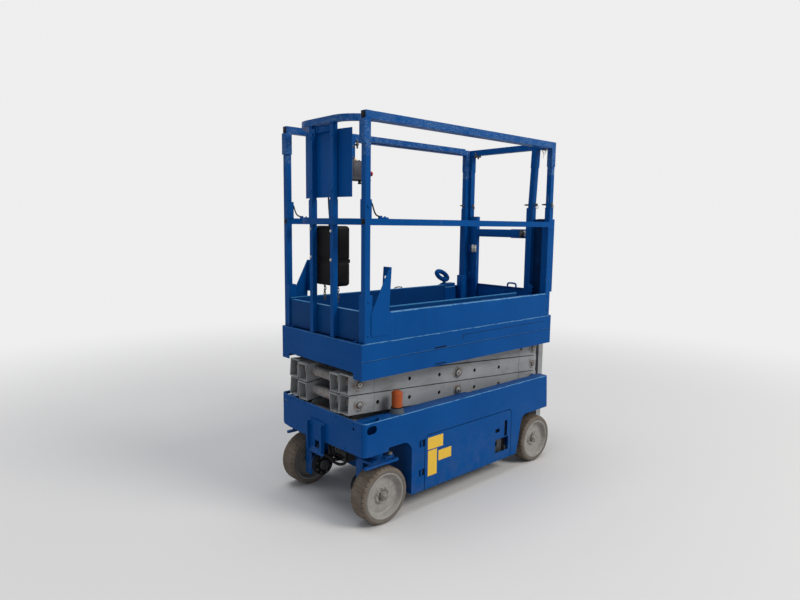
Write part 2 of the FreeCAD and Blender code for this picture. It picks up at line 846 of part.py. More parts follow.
def rollers(x):
    return both(rod_y(x, 0, roller_radius, track_y + 1, track_y + roller_width))


roller_arm_top = 3       # the outer arm whose front rollers carry the platform
roller_arm_low = 1       # the inner arm whose front rollers run in the chassis


def outer_arm(level):
    # rises from its rear pin at level - 1 to its front pin at level
    on_roller = level == roller_arm_top
    nose = roller_nose if on_roller else beam_nose
    face = outer_face_y + pin_head
    rear_end = outer_face_y + beam_gap + lug_sheet if level == 1 else face
    front_end = track_y + roller_width if on_roller else face
    side = beam(outer_beam_y, beam_tail, nose, [], round_nose=on_roller)
    y0 = outer_face_y - beam_wall - 1
    steps = lightening_steps if level == 2 else lightening_steps + (end_lightening_step,)
    for step in steps:
        for x in (arm_length / 2 - step, arm_length / 2 + step):
            side = side.cut(rod_y(x, 0, lightening_radius, y0, outer_face_y + 1))
    shapes = both(side)
    shapes.append(shaft(0, rear_end))
    shapes.extend(stub(arm_length / 2, inner_beam_y - 4, face))
    shapes.append(shaft(arm_length, front_end))
    washers_at = [arm_length / 2]
    if not on_roller:
        washers_at.append(arm_length)
    if level > 1:
        washers_at.append(0)
    for x in washers_at:
        shapes.extend(stub(x, outer_face_y, outer_face_y + washer_sheet, washer_radius))
    if on_roller:
        shapes.extend(rollers(arm_length))
    shape = fuse(shapes)
    shape.translate(V(rear_pin_x, 0, pin_z(level - 1)))
    return tilt(shape, rear_pin_x, pin_z(level - 1), rest_angle)


def inner_arm(level):
    # rises from its front pin at level - 1 to its rear pin at level
    on_roller = level == roller_arm_low
    nose = roller_nose if on_roller else beam_nose
    bore = pin_radius + pin_gap
    side = beam(inner_beam_y, inner_tail, nose, [(arm_length / 2, bore)],
                round_tail=True, round_nose=on_roller)
    inner_face = inner_beam_y + beam_width
    shapes = both(side)
    holes = []
    if level == 3:
        shapes.append(shaft(0, inner_face + beam_gap + lug_sheet))
        shapes.extend(stub(eye_reach, eye_half_width + swing_gap, inner_beam_y + 1, eye_boss_radius))
    else:
        shapes.append(shaft(0, inner_face, boss_radius))
        holes.append(0)
    if on_roller:
        shapes.append(shaft(arm_length, track_y + roller_width))
        shapes.extend(rollers(arm_length))
    else:
        shapes.append(shaft(arm_length, inner_face, boss_radius))
        holes.append(arm_length)
    shape = fuse(shapes)
    for x in holes:
        shape = shape.cut(shaft(x, inner_face + 1, bore))
    shape.translate(V(rear_pin_x, 0, pin_z(level)))
    return tilt(shape, rear_pin_x, pin_z(level), -rest_angle)


# Lift cylinder, from the first inner arm's rear shaft to the third inner arm

eye_x = rear_pin_x + eye_reach * math.cos(rest_angle)
eye_z = pin_z(3) - eye_reach * math.sin(rest_angle)
cylinder_angle = math.atan2(eye_z - pin_z(1), eye_x - rear_pin_x)
cylinder_length = math.hypot(eye_z - pin_z(1), eye_x - rear_pin_x)
barrel_end = cylinder_length - 90.0
piston_at = 540.0
piston_length = 50.0


def place_cylinder(shape):
    shape.translate(V(rear_pin_x, 0, pin_z(1)))
    return tilt(shape, rear_pin_x, pin_z(1), cylinder_angle)


def lift_barrel():
    bore = barrel_radius - barrel_wall
    ring = rod_y(0, 0, barrel_eye_radius, -eye_half_width, eye_half_width)
    tube = rod_x(0, 0, barrel_radius, boss_radius + 3, barrel_end)
    shape = fuse([ring, tube])
    shape = shape.cut(rod_y(0, 0, boss_radius + pin_gap, -eye_half_width - 1, eye_half_width + 1))
    shape = shape.cut(rod_x(0, 0, bore, barrel_eye_radius + 28, barrel_end - 20))
    shape = shape.cut(rod_x(0, 0, rod_radius + pin_gap, barrel_end - 30, barrel_end + 1))
    return place_cylinder(shape)


def lift_rod():
    eye = rod_y(cylinder_length, 0, rod_eye_radius, -eye_half_width, eye_half_width)
    rod = rod_x(0, 0, rod_radius, piston_at, cylinder_length)
    piston = rod_x(0, 0, barrel_radius - barrel_wall - pin_gap, piston_at, piston_at + piston_length)
    shape = fuse([eye, rod, piston])
    pin_hole = rod_y(cylinder_length, 0, pin_radius, -eye_half_width - 1, eye_half_width + 1)
    return place_cylinder(shape.cut(pin_hole))


# Platform

def platform_skirt():
    shape = square_tube(deck_rear_x, deck_front_x, -deck_half, deck_half, skirt_bottom, skirt_top,
                        skirt_sheet, "z")
    # the ends are cut higher between their corner tabs
    notch_y = deck_half - skirt_tab
    notch_z = skirt_bottom + skirt_notch
    for x in (deck_front_x, deck_rear_x):
        notch = plate_yz([
            (-notch_y, skirt_bottom - 1, 0), (notch_y, skirt_bottom - 1, 0),
            (notch_y, notch_z, 12), (-notch_y, notch_z, 12),
        ], x - skirt_sheet - 1, x + skirt_sheet + 1)
        shape = shape.cut(notch)
    return shape


def platform_deck():
    inner_x0 = deck_rear_x + skirt_sheet
    inner_x1 = deck_front_x - skirt_sheet
    inner_y = deck_half - skirt_sheet
    deck = box(inner_x0, inner_x1, -inner_y, inner_y, deck_underside, deck_top)
    track_front = inner_x1 - 12
    web_low = pin_z(3) - roller_radius - pin_gap - track_sheet
    web = box(track_rear_x, track_front, well_half, well_half + well_wall, web_low, deck_underside)
    lug_y = inner_beam_y + beam_width + beam_gap
    lug = plate_xz([
        (rear_pin_x - 32, pin_z(3) - 32, 30), (rear_pin_x + 32, pin_z(3) - 32, 30),
        (rear_pin_x + 60, deck_underside, 0), (rear_pin_x - 40, deck_underside, 0),
    ], lug_y, lug_y + lug_sheet)
    lug = lug.cut(rod_y(rear_pin_x, pin_z(3), pin_radius + pin_gap, lug_y - 1, lug_y + lug_sheet + 1))
    pad = box(deck_rear_x + pad_rear_ahead, inner_x1 - 10, pad_inner_y, pad_outer_y, deck_top,
              slide_low - seat_gap)
    shapes = [deck]
    for piece in [web, lug, pad] + track_pair(pin_z(3), track_rear_x, track_front):
        shapes.extend(both(piece))
    return fuse(shapes)


def toe_panel(rear_corner_x):
    rear = rear_corner_x + rear_foot_size
    front = corner_front_x - socket_size
    panel = box(rear, front, deck_half - skirt_sheet, deck_half, skirt_top, toe_top)
    lip = box(rear, front, deck_half - toe_lip, deck_half - skirt_sheet, toe_top - 4, toe_top)
    return fuse([panel, lip])


def lock_block():
    # the stop behind the sliding deck's side plate, on the right toe panel
    front = slide_rear_x - swing_gap
    rear = (front + right_post_x + rear_foot_size) / 2
    return box(rear, front, slide_half, deck_half - skirt_sheet, deck_top + 20, slide_toe_top + 6)


def corner_tube(x0, x1, size, z0, z1):
    # a stretch of a corner post, flush with the outer faces of the rails
    return square_tube(x0, x1, deck_half - size, deck_half, z0, z1, tube_wall, "z")


def front_corner_post():
    # a socket at the foot, a post up to the middle rail and another up to the top rail,
    # with a sleeve at each end of the upper one
    front = corner_front_x
    rear = front - post_size
    socket_top = deck_top + socket_height
    foot = corner_tube(front - socket_size, front, socket_size, skirt_top, socket_top)
    lower = corner_tube(rear, front, post_size, skirt_top, mid_rail_low)
    upper = corner_tube(rear, front, post_size, mid_rail_top, rail_low)
    low_collar = corner_tube(rear - sleeve_size + post_size, front, sleeve_size, mid_rail_top,
                             mid_rail_top + low_sleeve)
    top_collar = corner_tube(rear, rear + sleeve_size, sleeve_size, rail_low - top_sleeve, rail_low)
    return [fuse([foot, lower]), fuse([upper, low_collar, top_collar])]


def rear_corner_post(x0):
    # a lower post up to the middle rail, and a thinner upper one with a sleeve at each end
    lower = corner_tube(x0, x0 + rear_foot_size, rear_foot_size, skirt_top, mid_rail_low)
    inset = (rear_sleeve_size - rear_tube_size) / 2
    x1 = x0 + rear_sleeve_size
    upper = square_tube(x0 + inset, x1 - inset, deck_half - rear_sleeve_size + inset,
                        deck_half - inset, mid_rail_top, rail_low, tube_wall, "z")
    shapes = [upper]
    for z0, z1 in ((mid_rail_top, mid_rail_top + low_sleeve), (rail_low - top_sleeve, rail_low)):
        shapes.append(square_tube(x0, x1, deck_half - rear_sleeve_size, deck_half, z0, z1,
                                  sleeve_wall, "z"))
    return [lower, fuse(shapes)]


def corner_posts():
    front = front_corner_post()
    left = rear_corner_post(left_post_x)
    right = rear_corner_post(right_post_x)
    return front + [mirrored(shape) for shape in front] + left + [mirrored(shape) for shape in right]


def side_rails(top, size):
    # each runs from the rear corner post through to an open front end
    y = deck_half - size
    front = corner_front_x
    left = square_tube(left_post_x, front, y, deck_half, top - size, top, tube_wall, "x")
    right = square_tube(right_post_x, front, y, deck_half, top - size, top, tube_wall, "x")
    return [left, mirrored(right)]


def rear_frame():
    # the two posts beside the gate, the rail over them and the panel to the corner
    x0 = frame_x
    x1 = x0 + frame_depth
    cross = square_tube(x0, x1, far_post_y, deck_half - rear_sleeve_size, rail_low, rail_top,
                        tube_wall, "y")
    far_end = far_post_y + far_post_width
    far = square_tube(x0, x1, far_post_y, far_end, skirt_top, rail_low, tube_wall, "z")
    far_sleeve = box(x0 - 2, x1, far_post_y - 2, far_end + 2, rail_low - top_sleeve, rail_low)

    def leaning(width, z0, z1, depth_more):
        # a stretch of the near post's upper half, which leans out towards its top
        slope = (near_post_top_y - near_post_foot_y) / (rail_low - mid_rail_top)
        y_low = near_post_foot_y + slope * (z0 - mid_rail_top)
        y_high = near_post_foot_y + slope * (z1 - mid_rail_top)
        half = width / 2
        return plate_yz([(y_low - half, z0, 0), (y_low + half, z0, 0), (y_high + half, z1, 0),
                         (y_high - half, z1, 0)], x0 - depth_more, x1 + depth_more)

    foot_y = near_post_foot_y - near_foot_width / 2
    near_foot = box(x0 - 2, x1 + 2, foot_y, foot_y + near_foot_width, skirt_top, mid_rail_top + low_sleeve)
    near = leaning(near_post_width, mid_rail_top, rail_low, 0)
    near_top = leaning(near_post_width + 4, rail_low - top_sleeve, rail_low, 2)
    panel = box(x0 + 10, x0 + 14, near_post_foot_y, post_low_y, skirt_top,
                deck_top + corner_panel_top)
    shape = fuse([cross, far, far_sleeve, near, near_top, near_foot, panel])
    # hinge pins on the far post's inner face
    extra = []
    for rise in gate_hinge_heights:
        z = deck_top + rise
        extra.append(rod_z(gate_hinge_x, gate_hinge_y, gate_hinge_pin, z - gate_hinge_half,
                           z + gate_hinge_half))
        for low in (z - gate_hinge_half - 8, z + gate_hinge_half):
            extra.append(box(x1, gate_hinge_x + gate_hinge_radius, far_end - 4,
                             gate_hinge_y + gate_hinge_pin, low, low + 8))
    return fuse([shape] + extra)


def gate():
    x1 = frame_x + frame_depth
    x0 = x1 - gate_thickness
    low = skirt_top + gate_rise
    y0 = gate_hinge_y + gate_post_gap / 2
    y1 = y0 + gate_post_width
    bar_low = deck_top + gate_bar_top - gate_bar_height
    toe_high = toe_top + gate_toe_over
    post = square_tube(x0, x1, y0, y1, low, deck_top + gate_post_top, tube_wall, "z")
    bar = box(x0, x1, y1, gate_bar_end_y, bar_low, bar_low + gate_bar_height)
    toe = box(x0, x0 + 4, y1, gate_end_y, low, toe_high)
    end = box(x0, x1, gate_end_y - gate_end_width, gate_end_y, toe_high - 20, bar_low)
    shapes = [post, bar, toe, end]
    for rise in gate_hinge_heights:
        z = deck_top + rise
        z0, z1 = z - gate_hinge_half + 1, z + gate_hinge_half - 1
        shapes.append(rod_z(gate_hinge_x, gate_hinge_y, gate_hinge_radius, z0, z1))
        shapes.append(box(x1 - 1, gate_hinge_x + gate_hinge_radius, gate_hinge_y, y0 + 30, z0, z1))
    shape = fuse(shapes)
    for rise in gate_hinge_heights:
        z = deck_top + rise
        shape = shape.cut(rod_z(gate_hinge_x, gate_hinge_y, gate_hinge_pin + pin_gap,
                                z - gate_hinge_half, z + gate_hinge_half))
    return shape


def blades():
    # lock brackets on the outside of the toe panels: a plate whose front edge slants back
    # to the top, with a flange turned in over the panel and a hole through the flange
    x = deck_front_x
    low = deck_top + toe_lip * 2
    top = mid_rail_top - blade_under_rail
    front, rear = x - blade_back, x - blade_back - blade_foot
    tip = rear - blade_lean
    flange_low = slide_toe_top + swing_gap * 4
    slope = (rear - tip) / (top - low)
    plate = plate_xz([
        (front, low, 6), (rear, low, 6), (tip, top, 0), (tip + blade_top, top, 0), (front, toe_top, 8),
    ], deck_half, deck_half + blade_sheet)
    fold = plate_xz([
        (rear - slope * (flange_low - low), flange_low, 0), (tip, top, 0),
        (tip + blade_sheet, top, 0), (rear + blade_sheet - slope * (flange_low - low), flange_low, 0),
    ], deck_half + blade_sheet - blade_flange, deck_half)
    hole_y = deck_half + blade_sheet - blade_flange * 0.7
    hole = rod_x(hole_y, top - blade_flange * 0.9, blade_hole_radius, tip - blade_foot, front)
    return both(fuse([plate, fold]).cut(hole))


# Sliding deck

def extension_deck():
    front = front_post_x
    floor = box(slide_rear_x, front, -slide_half, slide_half, slide_low, slide_low + slide_floor)
    side = box(slide_rear_x, front, slide_half - slide_sheet, slide_half, slide_low + slide_floor,
               slide_toe_top)
    nose_top = slide_toe_top - nose_toe_drop
    nose = box(front - slide_sheet, front, -slide_half, slide_half, slide_low, nose_top)
    lip = box(front - lip_depth, front, -slide_half, slide_half, nose_top - slide_sheet, nose_top)
    return fuse([floor, nose, lip] + both(side))


def hoop(top, rail_y):
    # a bowed tube: along one side, in towards the front, across and back, with a
    # shoe near each end that runs on the fixed rail beside it
    half = hoop_size / 2
    side_y = slide_half - half
    z = top - half
    tip_x = hoop_front_x - half
    back_slope = math.tan(math.radians(hoop_turn))
    far_x = tip_x - (side_y - hoop_far_corner) * back_slope
    near_x = tip_x - (side_y - hoop_near_corner) * back_slope
    corners = [(hoop_rear_x, -side_y, 0), (far_x, -side_y, hoop_side_bend),
               (tip_x, -hoop_far_corner, hoop_front_bend), (tip_x, hoop_near_corner, hoop_front_bend),
               (near_x, side_y, hoop_side_bend), (hoop_rear_x, side_y, 0)]
    edges = []
    here = V(corners[0][0], corners[0][1], z)
    for i in range(1, len(corners) - 1):
        corner = V(corners[i][0], corners[i][1], z)
        bend = corners[i][2]
        back = (V(corners[i - 1][0], corners[i - 1][1], z) - corner).normalize()
        ahead = (V(corners[i + 1][0], corners[i + 1][1], z) - corner).normalize()
        turn = back.getAngle(ahead) / 2
        reach = bend / math.tan(turn)
        middle = corner + (back + ahead).normalize() * (bend / math.sin(turn))
        start = corner + back * reach
        stop = corner + ahead * reach
        edges.append(Part.LineSegment(here, start).toShape())
        inside = middle + (corner - middle).normalize() * bend
        edges.append(Part.Arc(start, inside, stop).toShape())
        here = stop
    edges.append(Part.LineSegment(here, V(corners[-1][0], corners[-1][1], z)).toShape())
    section = Part.makePolygon([
        V(hoop_rear_x, -side_y - half, z - half), V(hoop_rear_x, -side_y + half, z - half),
        V(hoop_rear_x, -side_y + half, z + half), V(hoop_rear_x, -side_y - half, z + half),
        V(hoop_rear_x, -side_y - half, z - half)])
    tube = Part.Wire(edges).makePipeShell([section], True, False)
    shoe = box(hoop_rear_x, hoop_rear_x + shoe_length, slide_half - 1, rail_y - seat_gap,
               z - half + 4, z + half - 4)
    return fuse([tube] + both(shoe))


def extension_posts(hoops):
    # two upright tubes, coped where the bowed tubes pass in front of them
    x0, x1 = front_post_x, front_post_x + front_post_depth
    shapes = []
    for y0, y1 in front_posts_y:
        post = box(x0, x1, y0, y1, skirt_top + swing_gap, rail_top - 1)
        sleeve = box(x0, x1 + sleeve_wall, y0 - sleeve_wall, y1 + sleeve_wall, mid_rail_top,
                     mid_rail_top + front_sleeve)
        post = fuse([post, sleeve])
        for tube in hoops:
            post = post.cut(tube)
        shapes.append(post)
    return shapes


def control_shield():
    # one sheet with bent wings behind the two front posts
    x = front_post_x
    s = slide_sheet
    y0, y1, y2, y3 = shield_y
    top = rail_top - shield_drop
    return plate_xy([
        (x - shield_wing, y0, 0), (x, y1, 4), (x, y2, 4), (x - shield_wing, y3, 0),
        (x - shield_wing - s, y3 - 2, 0), (x - s, y2 - 2, 4), (x - s, y1 + 2, 4),
        (x - shield_wing - s, y0 + s, 0),
    ], top - shield_height, top)


def manual_box():
    # a moulded box with rounded upright edges and a lid line round it
    x1 = front_post_x
    x0 = x1 - box_depth
    y0, y1 = box_y
    high = mid_rail_top - box_under_rail
    low = high - box_height
    lid = low + box_height * 0.42
    groove = 2.0

    def ring(inset, z0, z1):
        r = box_corner - inset
        return plate_xy([(x0 + inset, y0 + inset, r), (x1, y0 + inset, 0), (x1, y1 - inset, 0),
                         (x0 + inset, y1 - inset, r)], z0, z1)

    return fuse([ring(0, low, lid - groove), ring(groove, lid - groove, lid), ring(0, lid, high)])


control_x0 = front_post_x - control_back - control_length
control_top = rail_top - control_drop
control_far_y = -slide_half + hoop_size + hanger_sheet


def control_box():
    # the upper control box, its face leaning back, with the guard over its lower edge
    x0, x1 = control_x0, control_x0 + control_length
    z0, z1 = control_top - control_height, control_top
    y0, y1 = control_far_y, control_far_y + control_depth
    body = plate_xz([(x0 + 14, z0, 8), (x1, z0, 8), (x1, z1, 8), (x0, z1, 8)], y0, y1)
    guard = box(x0 + 4, x1 + 4, y0 - 3, y1 + 3, z0 - 4, z0 + 4)
    return fuse([body, guard])


def box_hanger():
    # a strap on the inside of the upper bowed tube, down behind the control box
    x0 = control_x0 + hanger_ahead
    return box(x0, x0 + hanger_width, control_far_y - hanger_sheet, control_far_y,
               control_top - 50, rail_top - 8)


def build():
    side = chassis_side()
    save("chassis_side_left", side)
    save("chassis_side_right", mirrored(side))
    save("chassis_front", chassis_front())
    save("tow_bracket", tow_bracket())
    save("chassis_spine", chassis_spine())
    save("cross_walls", cross_walls())
    save("scissor_well", scissor_well())
    wall = well_side()
    save("well_side_left", wall)
    save("well_side_right", mirrored(wall))
    save("chassis_rear", chassis_rear())
    save("front_axle", front_axle())
    save("rear_axle", rear_axle())
    save("ladder", ladder())
    foot, lens = beacon_parts()
    save("beacon_base", foot)
    save("beacon_lens", lens)
    for name, shape in (("tray_door", tray_door()), ("tray_pan", tray_pan()),
                        ("tray_load", tray_load()), ("knuckle", knuckle())):
        save(name + "_left", shape)
        save(name + "_right", mirrored(shape))
    save("tie_bar", tie_bar())
    for place, x in (("front", axle_front_x), ("rear", axle_rear_x)):
        for part, shape in (("tyre", tyre(x)), ("rim", rim(x))):
            save(part + "_" + place + "_left", shape)
            save(part + "_" + place + "_right", mirrored(shape))
    for level in (1, 2, 3):
        save("arm_outer_" + str(level), outer_arm(level))
        save("arm_inner_" + str(level), inner_arm(level))
    save("lift_barrel", lift_barrel())
    save("lift_rod", lift_rod())
    save("platform_skirt", platform_skirt())
    save("platform_deck", platform_deck())
    save("toe_panel_left", toe_panel(left_post_x))
    save("toe_panel_right", mirrored(fuse([toe_panel(right_post_x), lock_block()])))
    save("corner_posts", corner_posts())
    save("side_rails_top", side_rails(rail_top, rail_size))
    save("side_rails_middle", side_rails(mid_rail_top, mid_rail_size))
    save("rear_frame", rear_frame())
    save("gate", gate())
    save("extension_deck", extension_deck())
    hoops = [hoop(rail_top - 1, deck_half - rail_size), hoop(mid_rail_top, deck_half - mid_rail_size)]
    save("extension_posts", extension_posts(hoops))
    save("extension_rail_top", hoops[0])
    save("extension_rail_middle", hoops[1])
    save("control_shield", control_shield())
    save("manual_box", manual_box())
    save("control_box", control_box())
    save("box_hanger", box_hanger())
    save("blades", blades())


build()
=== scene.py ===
# %% [markdown]
# # An electric slab scissor lift
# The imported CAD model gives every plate, tube and tyre its place and its joints.
# This lesson adds what CAD leaves out: paint with wear, worn tyres, bolts, pins,
# hinges, controls, cables and batteries. The machine's steered end points to +X, its
# left side to +Y, and it stands on the floor at Z = 0. A maker's drawing of such a
# machine gives millimetres from the point half way between the axles, so `at` takes
# those and gives metres in the model's frame.

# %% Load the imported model
import math

import bmesh
import bpy
from mathutils import Matrix, Vector


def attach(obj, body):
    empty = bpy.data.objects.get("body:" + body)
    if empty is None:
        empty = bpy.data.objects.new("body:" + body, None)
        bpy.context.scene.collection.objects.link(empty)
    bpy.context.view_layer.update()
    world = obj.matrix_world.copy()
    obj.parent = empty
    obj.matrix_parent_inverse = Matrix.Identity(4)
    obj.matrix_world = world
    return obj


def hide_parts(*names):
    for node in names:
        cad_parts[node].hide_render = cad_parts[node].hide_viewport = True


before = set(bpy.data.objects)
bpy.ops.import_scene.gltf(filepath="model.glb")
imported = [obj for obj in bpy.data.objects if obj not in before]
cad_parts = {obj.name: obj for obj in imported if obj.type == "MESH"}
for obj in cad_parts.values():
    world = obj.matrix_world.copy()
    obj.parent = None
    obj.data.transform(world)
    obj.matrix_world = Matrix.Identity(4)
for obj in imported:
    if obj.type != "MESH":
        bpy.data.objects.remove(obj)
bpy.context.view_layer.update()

middle_x = 0.0605        # the point half way between the axles, in the frame's metres


def at(x, y, z):
    # a place in millimetres from the point half way between the axles, made metres in the frame
    return Vector((x / 1000 + middle_x, y / 1000, z / 1000))


# %% [markdown]
# ## Driving sizes
# Small pieces and stains take their places from a few sizes of the machine: where
# its axles, scissor pins and rails are. They are written once here, in
# millimetres, so that a bolt stays on its plate when a size changes.

# %% Driving sizes
axles = {"front": 660, "rear": -660}                       # their places along the machine
axle_rise = 152.5                                          # over the floor
wheel_face, tyre_width = 390, 114
front_pin, middle_pin, rear_pin = 751.25, 3.125, -745.0    # along the machine
pin_low, pin_rise = 530, 106                               # the lowest pins, and each level's rise
rail_face = 369                                            # outer side of the rails, posts and toe panels
sides = (("left", 1), ("right", -1))
levels = (1, 2, 3)


def pin_heights(level):
    # the lower and the upper pin of one scissor level
    return pin_low + pin_rise * (level - 1), pin_low + pin_rise * level


print("pins at", sorted({height for level in levels for height in pin_heights(level)}))

# %% [markdown]
# ## The camera
# The photograph was taken from the left front corner with a wide lens held at
# about eye height. Its place was solved from the machine's own edges, so the
# camera is set from a point, a line of sight and a small roll, which keeps the
# numbers readable.

# %% Camera
camera_data = bpy.data.cameras.new("camera")
camera_data.sensor_width = 36.0
camera_data.lens = 27.05
camera_data.clip_end = 100.0
camera = bpy.data.objects.new("camera", camera_data)
bpy.context.scene.collection.objects.link(camera)
camera_place = at(2617, 2639, 1561)
line_of_sight = Vector((-0.66638, -0.73509, -0.12480))
roll = math.radians(0.70)
camera_turn = line_of_sight.to_track_quat("-Z", "Y").to_matrix().to_4x4()
camera.matrix_world = Matrix.Translation(camera_place) @ camera_turn @ Matrix.Rotation(roll, 4, "Z")
bpy.context.scene.camera = camera
print("camera at", [round(v, 3) for v in camera.matrix_world.translation])

# %% [markdown]
# ## Node helpers
# Every finish below is drawn by shader nodes. These few helpers add a node, join
# sockets, mix two colours and turn a noise into a mask. They read Object
# coordinates: all pieces stand at the origin, so those are places on the machine,
# and a stain, a dust line or a patch of rust stays where it was put.


# %% Node helpers
def finish(name):
    made = bpy.data.materials.new(name)
    made.use_nodes = True
    return made, made.node_tree, made.node_tree.nodes["Principled BSDF"]


def feed(tree, socket, value):
    # joins another node's socket, or writes a plain number or colour
    if isinstance(value, bpy.types.NodeSocket):
        tree.links.new(value, socket)
    elif hasattr(value, "__len__"):
        socket.default_value = (*value, 1) if len(value) == 3 and socket.type == "RGBA" else value
    else:
        socket.default_value = value


def add(tree, kind, inputs=None, **settings):
    made = tree.nodes.new("ShaderNode" + kind)
    for key, value in settings.items():
        setattr(made, key, value)
    for key, value in (inputs or {}).items():
        feed(tree, made.inputs[key], value)
    return made


def maths(tree, operation, a, b=0.0):
    return add(tree, "Math", {0: a, 1: b}, operation=operation).outputs[0]


def times(tree, first, *others):
    for other in others:
        first = maths(tree, "MULTIPLY", first, other)
    return first


def plus(tree, first, *others):
    for other in others:
        first = maths(tree, "ADD", first, other)
    return first


def most(tree, first, *others):
    for other in others:
        first = maths(tree, "MAXIMUM", first, other)
    return first


def blend(tree, amount, first, second):
    made = add(tree, "Mix", {0: amount, 6: first, 7: second}, data_type="RGBA")
    return made.outputs[2]


def laid(tree, under, over, *amounts):
    # one colour laid over another, as strongly as the amounts multiplied
    return blend(tree, times(tree, *amounts), under, over)


def spread(tree, value, low, high):
    made = add(tree, "MapRange", {"Value": value, "To Min": low, "To Max": high})
    return made.outputs["Result"]


def mask(tree, value, low, high):
    made = add(tree, "MapRange", {"Value": value, "From Min": low, "From Max": high})
    return made.outputs["Result"]


def between(tree, value, low, high, soft=0.0008):
    # 1 from low to high, with a soft step at each end
    up = mask(tree, value, low - soft, low + soft)
    down = mask(tree, value, high + soft, high - soft)
    return maths(tree, "MULTIPLY", up, down)


def noise(tree, place, size, detail=3.0, rough=0.55, stretch=(1, 1, 1)):
    where = add(tree, "Mapping", {"Vector": place, "Scale": stretch}).outputs[0]
    made = add(tree, "TexNoise", {"Vector": where, "Scale": 1 / size, "Detail": detail,
                                  "Roughness": rough})
    return made.outputs["Fac"]


def near(tree, place, centre, radius, stretch=(1, 1, 1)):
    # 1 at a point on the machine, falling to 0 at a radius from it
    away = add(tree, "VectorMath", {0: place, 1: centre}, operation="SUBTRACT").outputs[0]
    away = add(tree, "VectorMath", {0: away, 1: stretch}, operation="MULTIPLY").outputs[0]
    length = add(tree, "VectorMath", {0: away}, operation="LENGTH").outputs["Value"]
    return mask(tree, length, radius, 0.0)


def rounded_edges(tree, radius):
    # a soft normal across sharp edges, and a mask that is 1 along them
    soft = add(tree, "Bevel", {"Radius": radius}, samples=4).outputs[0]
    flat = add(tree, "NewGeometry").outputs["Normal"]
    likeness = add(tree, "VectorMath", {0: soft, 1: flat}, operation="DOT_PRODUCT").outputs["Value"]
    return soft, mask(tree, likeness, 0.995, 0.90)


def coat(tree, skin, colour, rough, shine, high, soft, strength, depth):
    # gives the shader its colour, its gloss and a bumped normal
    feed(tree, skin.inputs["Base Color"], colour)
    feed(tree, skin.inputs["Roughness"], rough)
    skin.inputs["Specular IOR Level"].default_value = shine
    bump = add(tree, "Bump", {"Height": high, "Normal": soft, "Strength": strength, "Distance": depth})
    feed(tree, skin.inputs["Normal"], bump.outputs[0])


print("helpers ready")

# %% [markdown]
# ## Floor and light
# The machine stands on a plain pale floor, one large sheet. A machine like this is
# judged on a plain pale floor. The world is white where the camera, a mirror reflection
# or a glass ray sees it, and a plain grey for lighting, so a pale background never
# brightens the paint.

# %% Floor
scene = bpy.context.scene
scene.view_settings.view_transform = "Standard"

floor_mesh = bpy.data.meshes.new("floor")
floor_form = bmesh.new()
bmesh.ops.create_grid(floor_form, x_segments=1, y_segments=1, size=30)
floor_form.to_mesh(floor_mesh)
floor_form.free()
floor = bpy.data.objects.new("floor", floor_mesh)
scene.collection.objects.link(floor)

backdrop_white = (0.86, 0.86, 0.86, 1)
floor_finish, floor_tree, floor_skin = finish("pale floor")
floor_skin.inputs["Base Color"].default_value = (0.62, 0.61, 0.60, 1)
floor_skin.inputs["Roughness"].default_value = 0.85
# far from the machine the floor turns into the white of the backdrop
floor_place = add(floor_tree, "TexCoord").outputs["Object"]
floor_away = add(floor_tree, "VectorMath", {0: floor_place}, operation="LENGTH").outputs["Value"]
floor_fade = add(floor_tree, "MapRange", {"Value": floor_away, "From Min": 1.6, "From Max": 6.5},
                 interpolation_type="SMOOTHSTEP").outputs["Result"]
floor_amount = times(floor_tree, floor_fade, add(floor_tree, "LightPath").outputs["Is Camera Ray"])
floor_white = add(floor_tree, "Emission", {"Color": backdrop_white})
floor_mix = add(floor_tree, "MixShader", {0: floor_amount, 1: floor_skin.outputs[0],
                                          2: floor_white.outputs[0]})
feed(floor_tree, floor_tree.nodes["Material Output"].inputs["Surface"], floor_mix.outputs[0])
floor_mesh.materials.append(floor_finish)
print("floor is", floor.dimensions.x, "m wide")

# %% World
world = bpy.data.worlds.new("studio")
world.use_nodes = True
scene.world = world
sky = world.node_tree
sky_seen = add(sky, "LightPath").outputs
sky_shown = most(sky, sky_seen["Is Camera Ray"], sky_seen["Is Glossy Ray"], sky_seen["Is Transmission Ray"])
sky_light = sky.nodes["Background"]
sky_light.inputs["Color"].default_value = (0.80, 0.86, 0.95, 1)
sky_light.inputs["Strength"].default_value = 0.40
sky_white = add(sky, "Background", {"Color": backdrop_white, "Strength": 1.0})
sky_mix = add(sky, "MixShader", {0: sky_shown, 1: sky_light.outputs[0], 2: sky_white.outputs[0]})
feed(sky, sky.nodes["World Output"].inputs["Surface"], sky_mix.outputs[0])
print("world nodes:", len(sky.nodes))


# %% Lamps
def add_lamp(name, place, target, size, watts, colour=(1, 1, 1)):
    lamp = bpy.data.lights.new(name, "AREA")
    lamp.shape = "DISK"
    lamp.size = size
    lamp.energy = watts
    lamp.color = colour
    holder = bpy.data.objects.new(name, lamp)
    scene.collection.objects.link(holder)
    aim = Vector(target) - Vector(place)
    holder.matrix_world = Matrix.Translation(place) @ aim.to_track_quat("-Z", "Y").to_matrix().to_4x4()


# the lamps stand far enough away for the platform to rise below them
add_lamp("key", (-2.9, 8.3, 7.5), (0, 0, 1.0), 4.7, 765, (1.0, 0.97, 0.93))
add_lamp("overhead", (1.1, -0.9, 9.2), (0, 0, 0.8), 7.3, 400)
add_lamp("fill", (5.0, 1.0, 2.6), (0, 0, 1.0), 3.0, 12, (0.94, 0.97, 1.0))
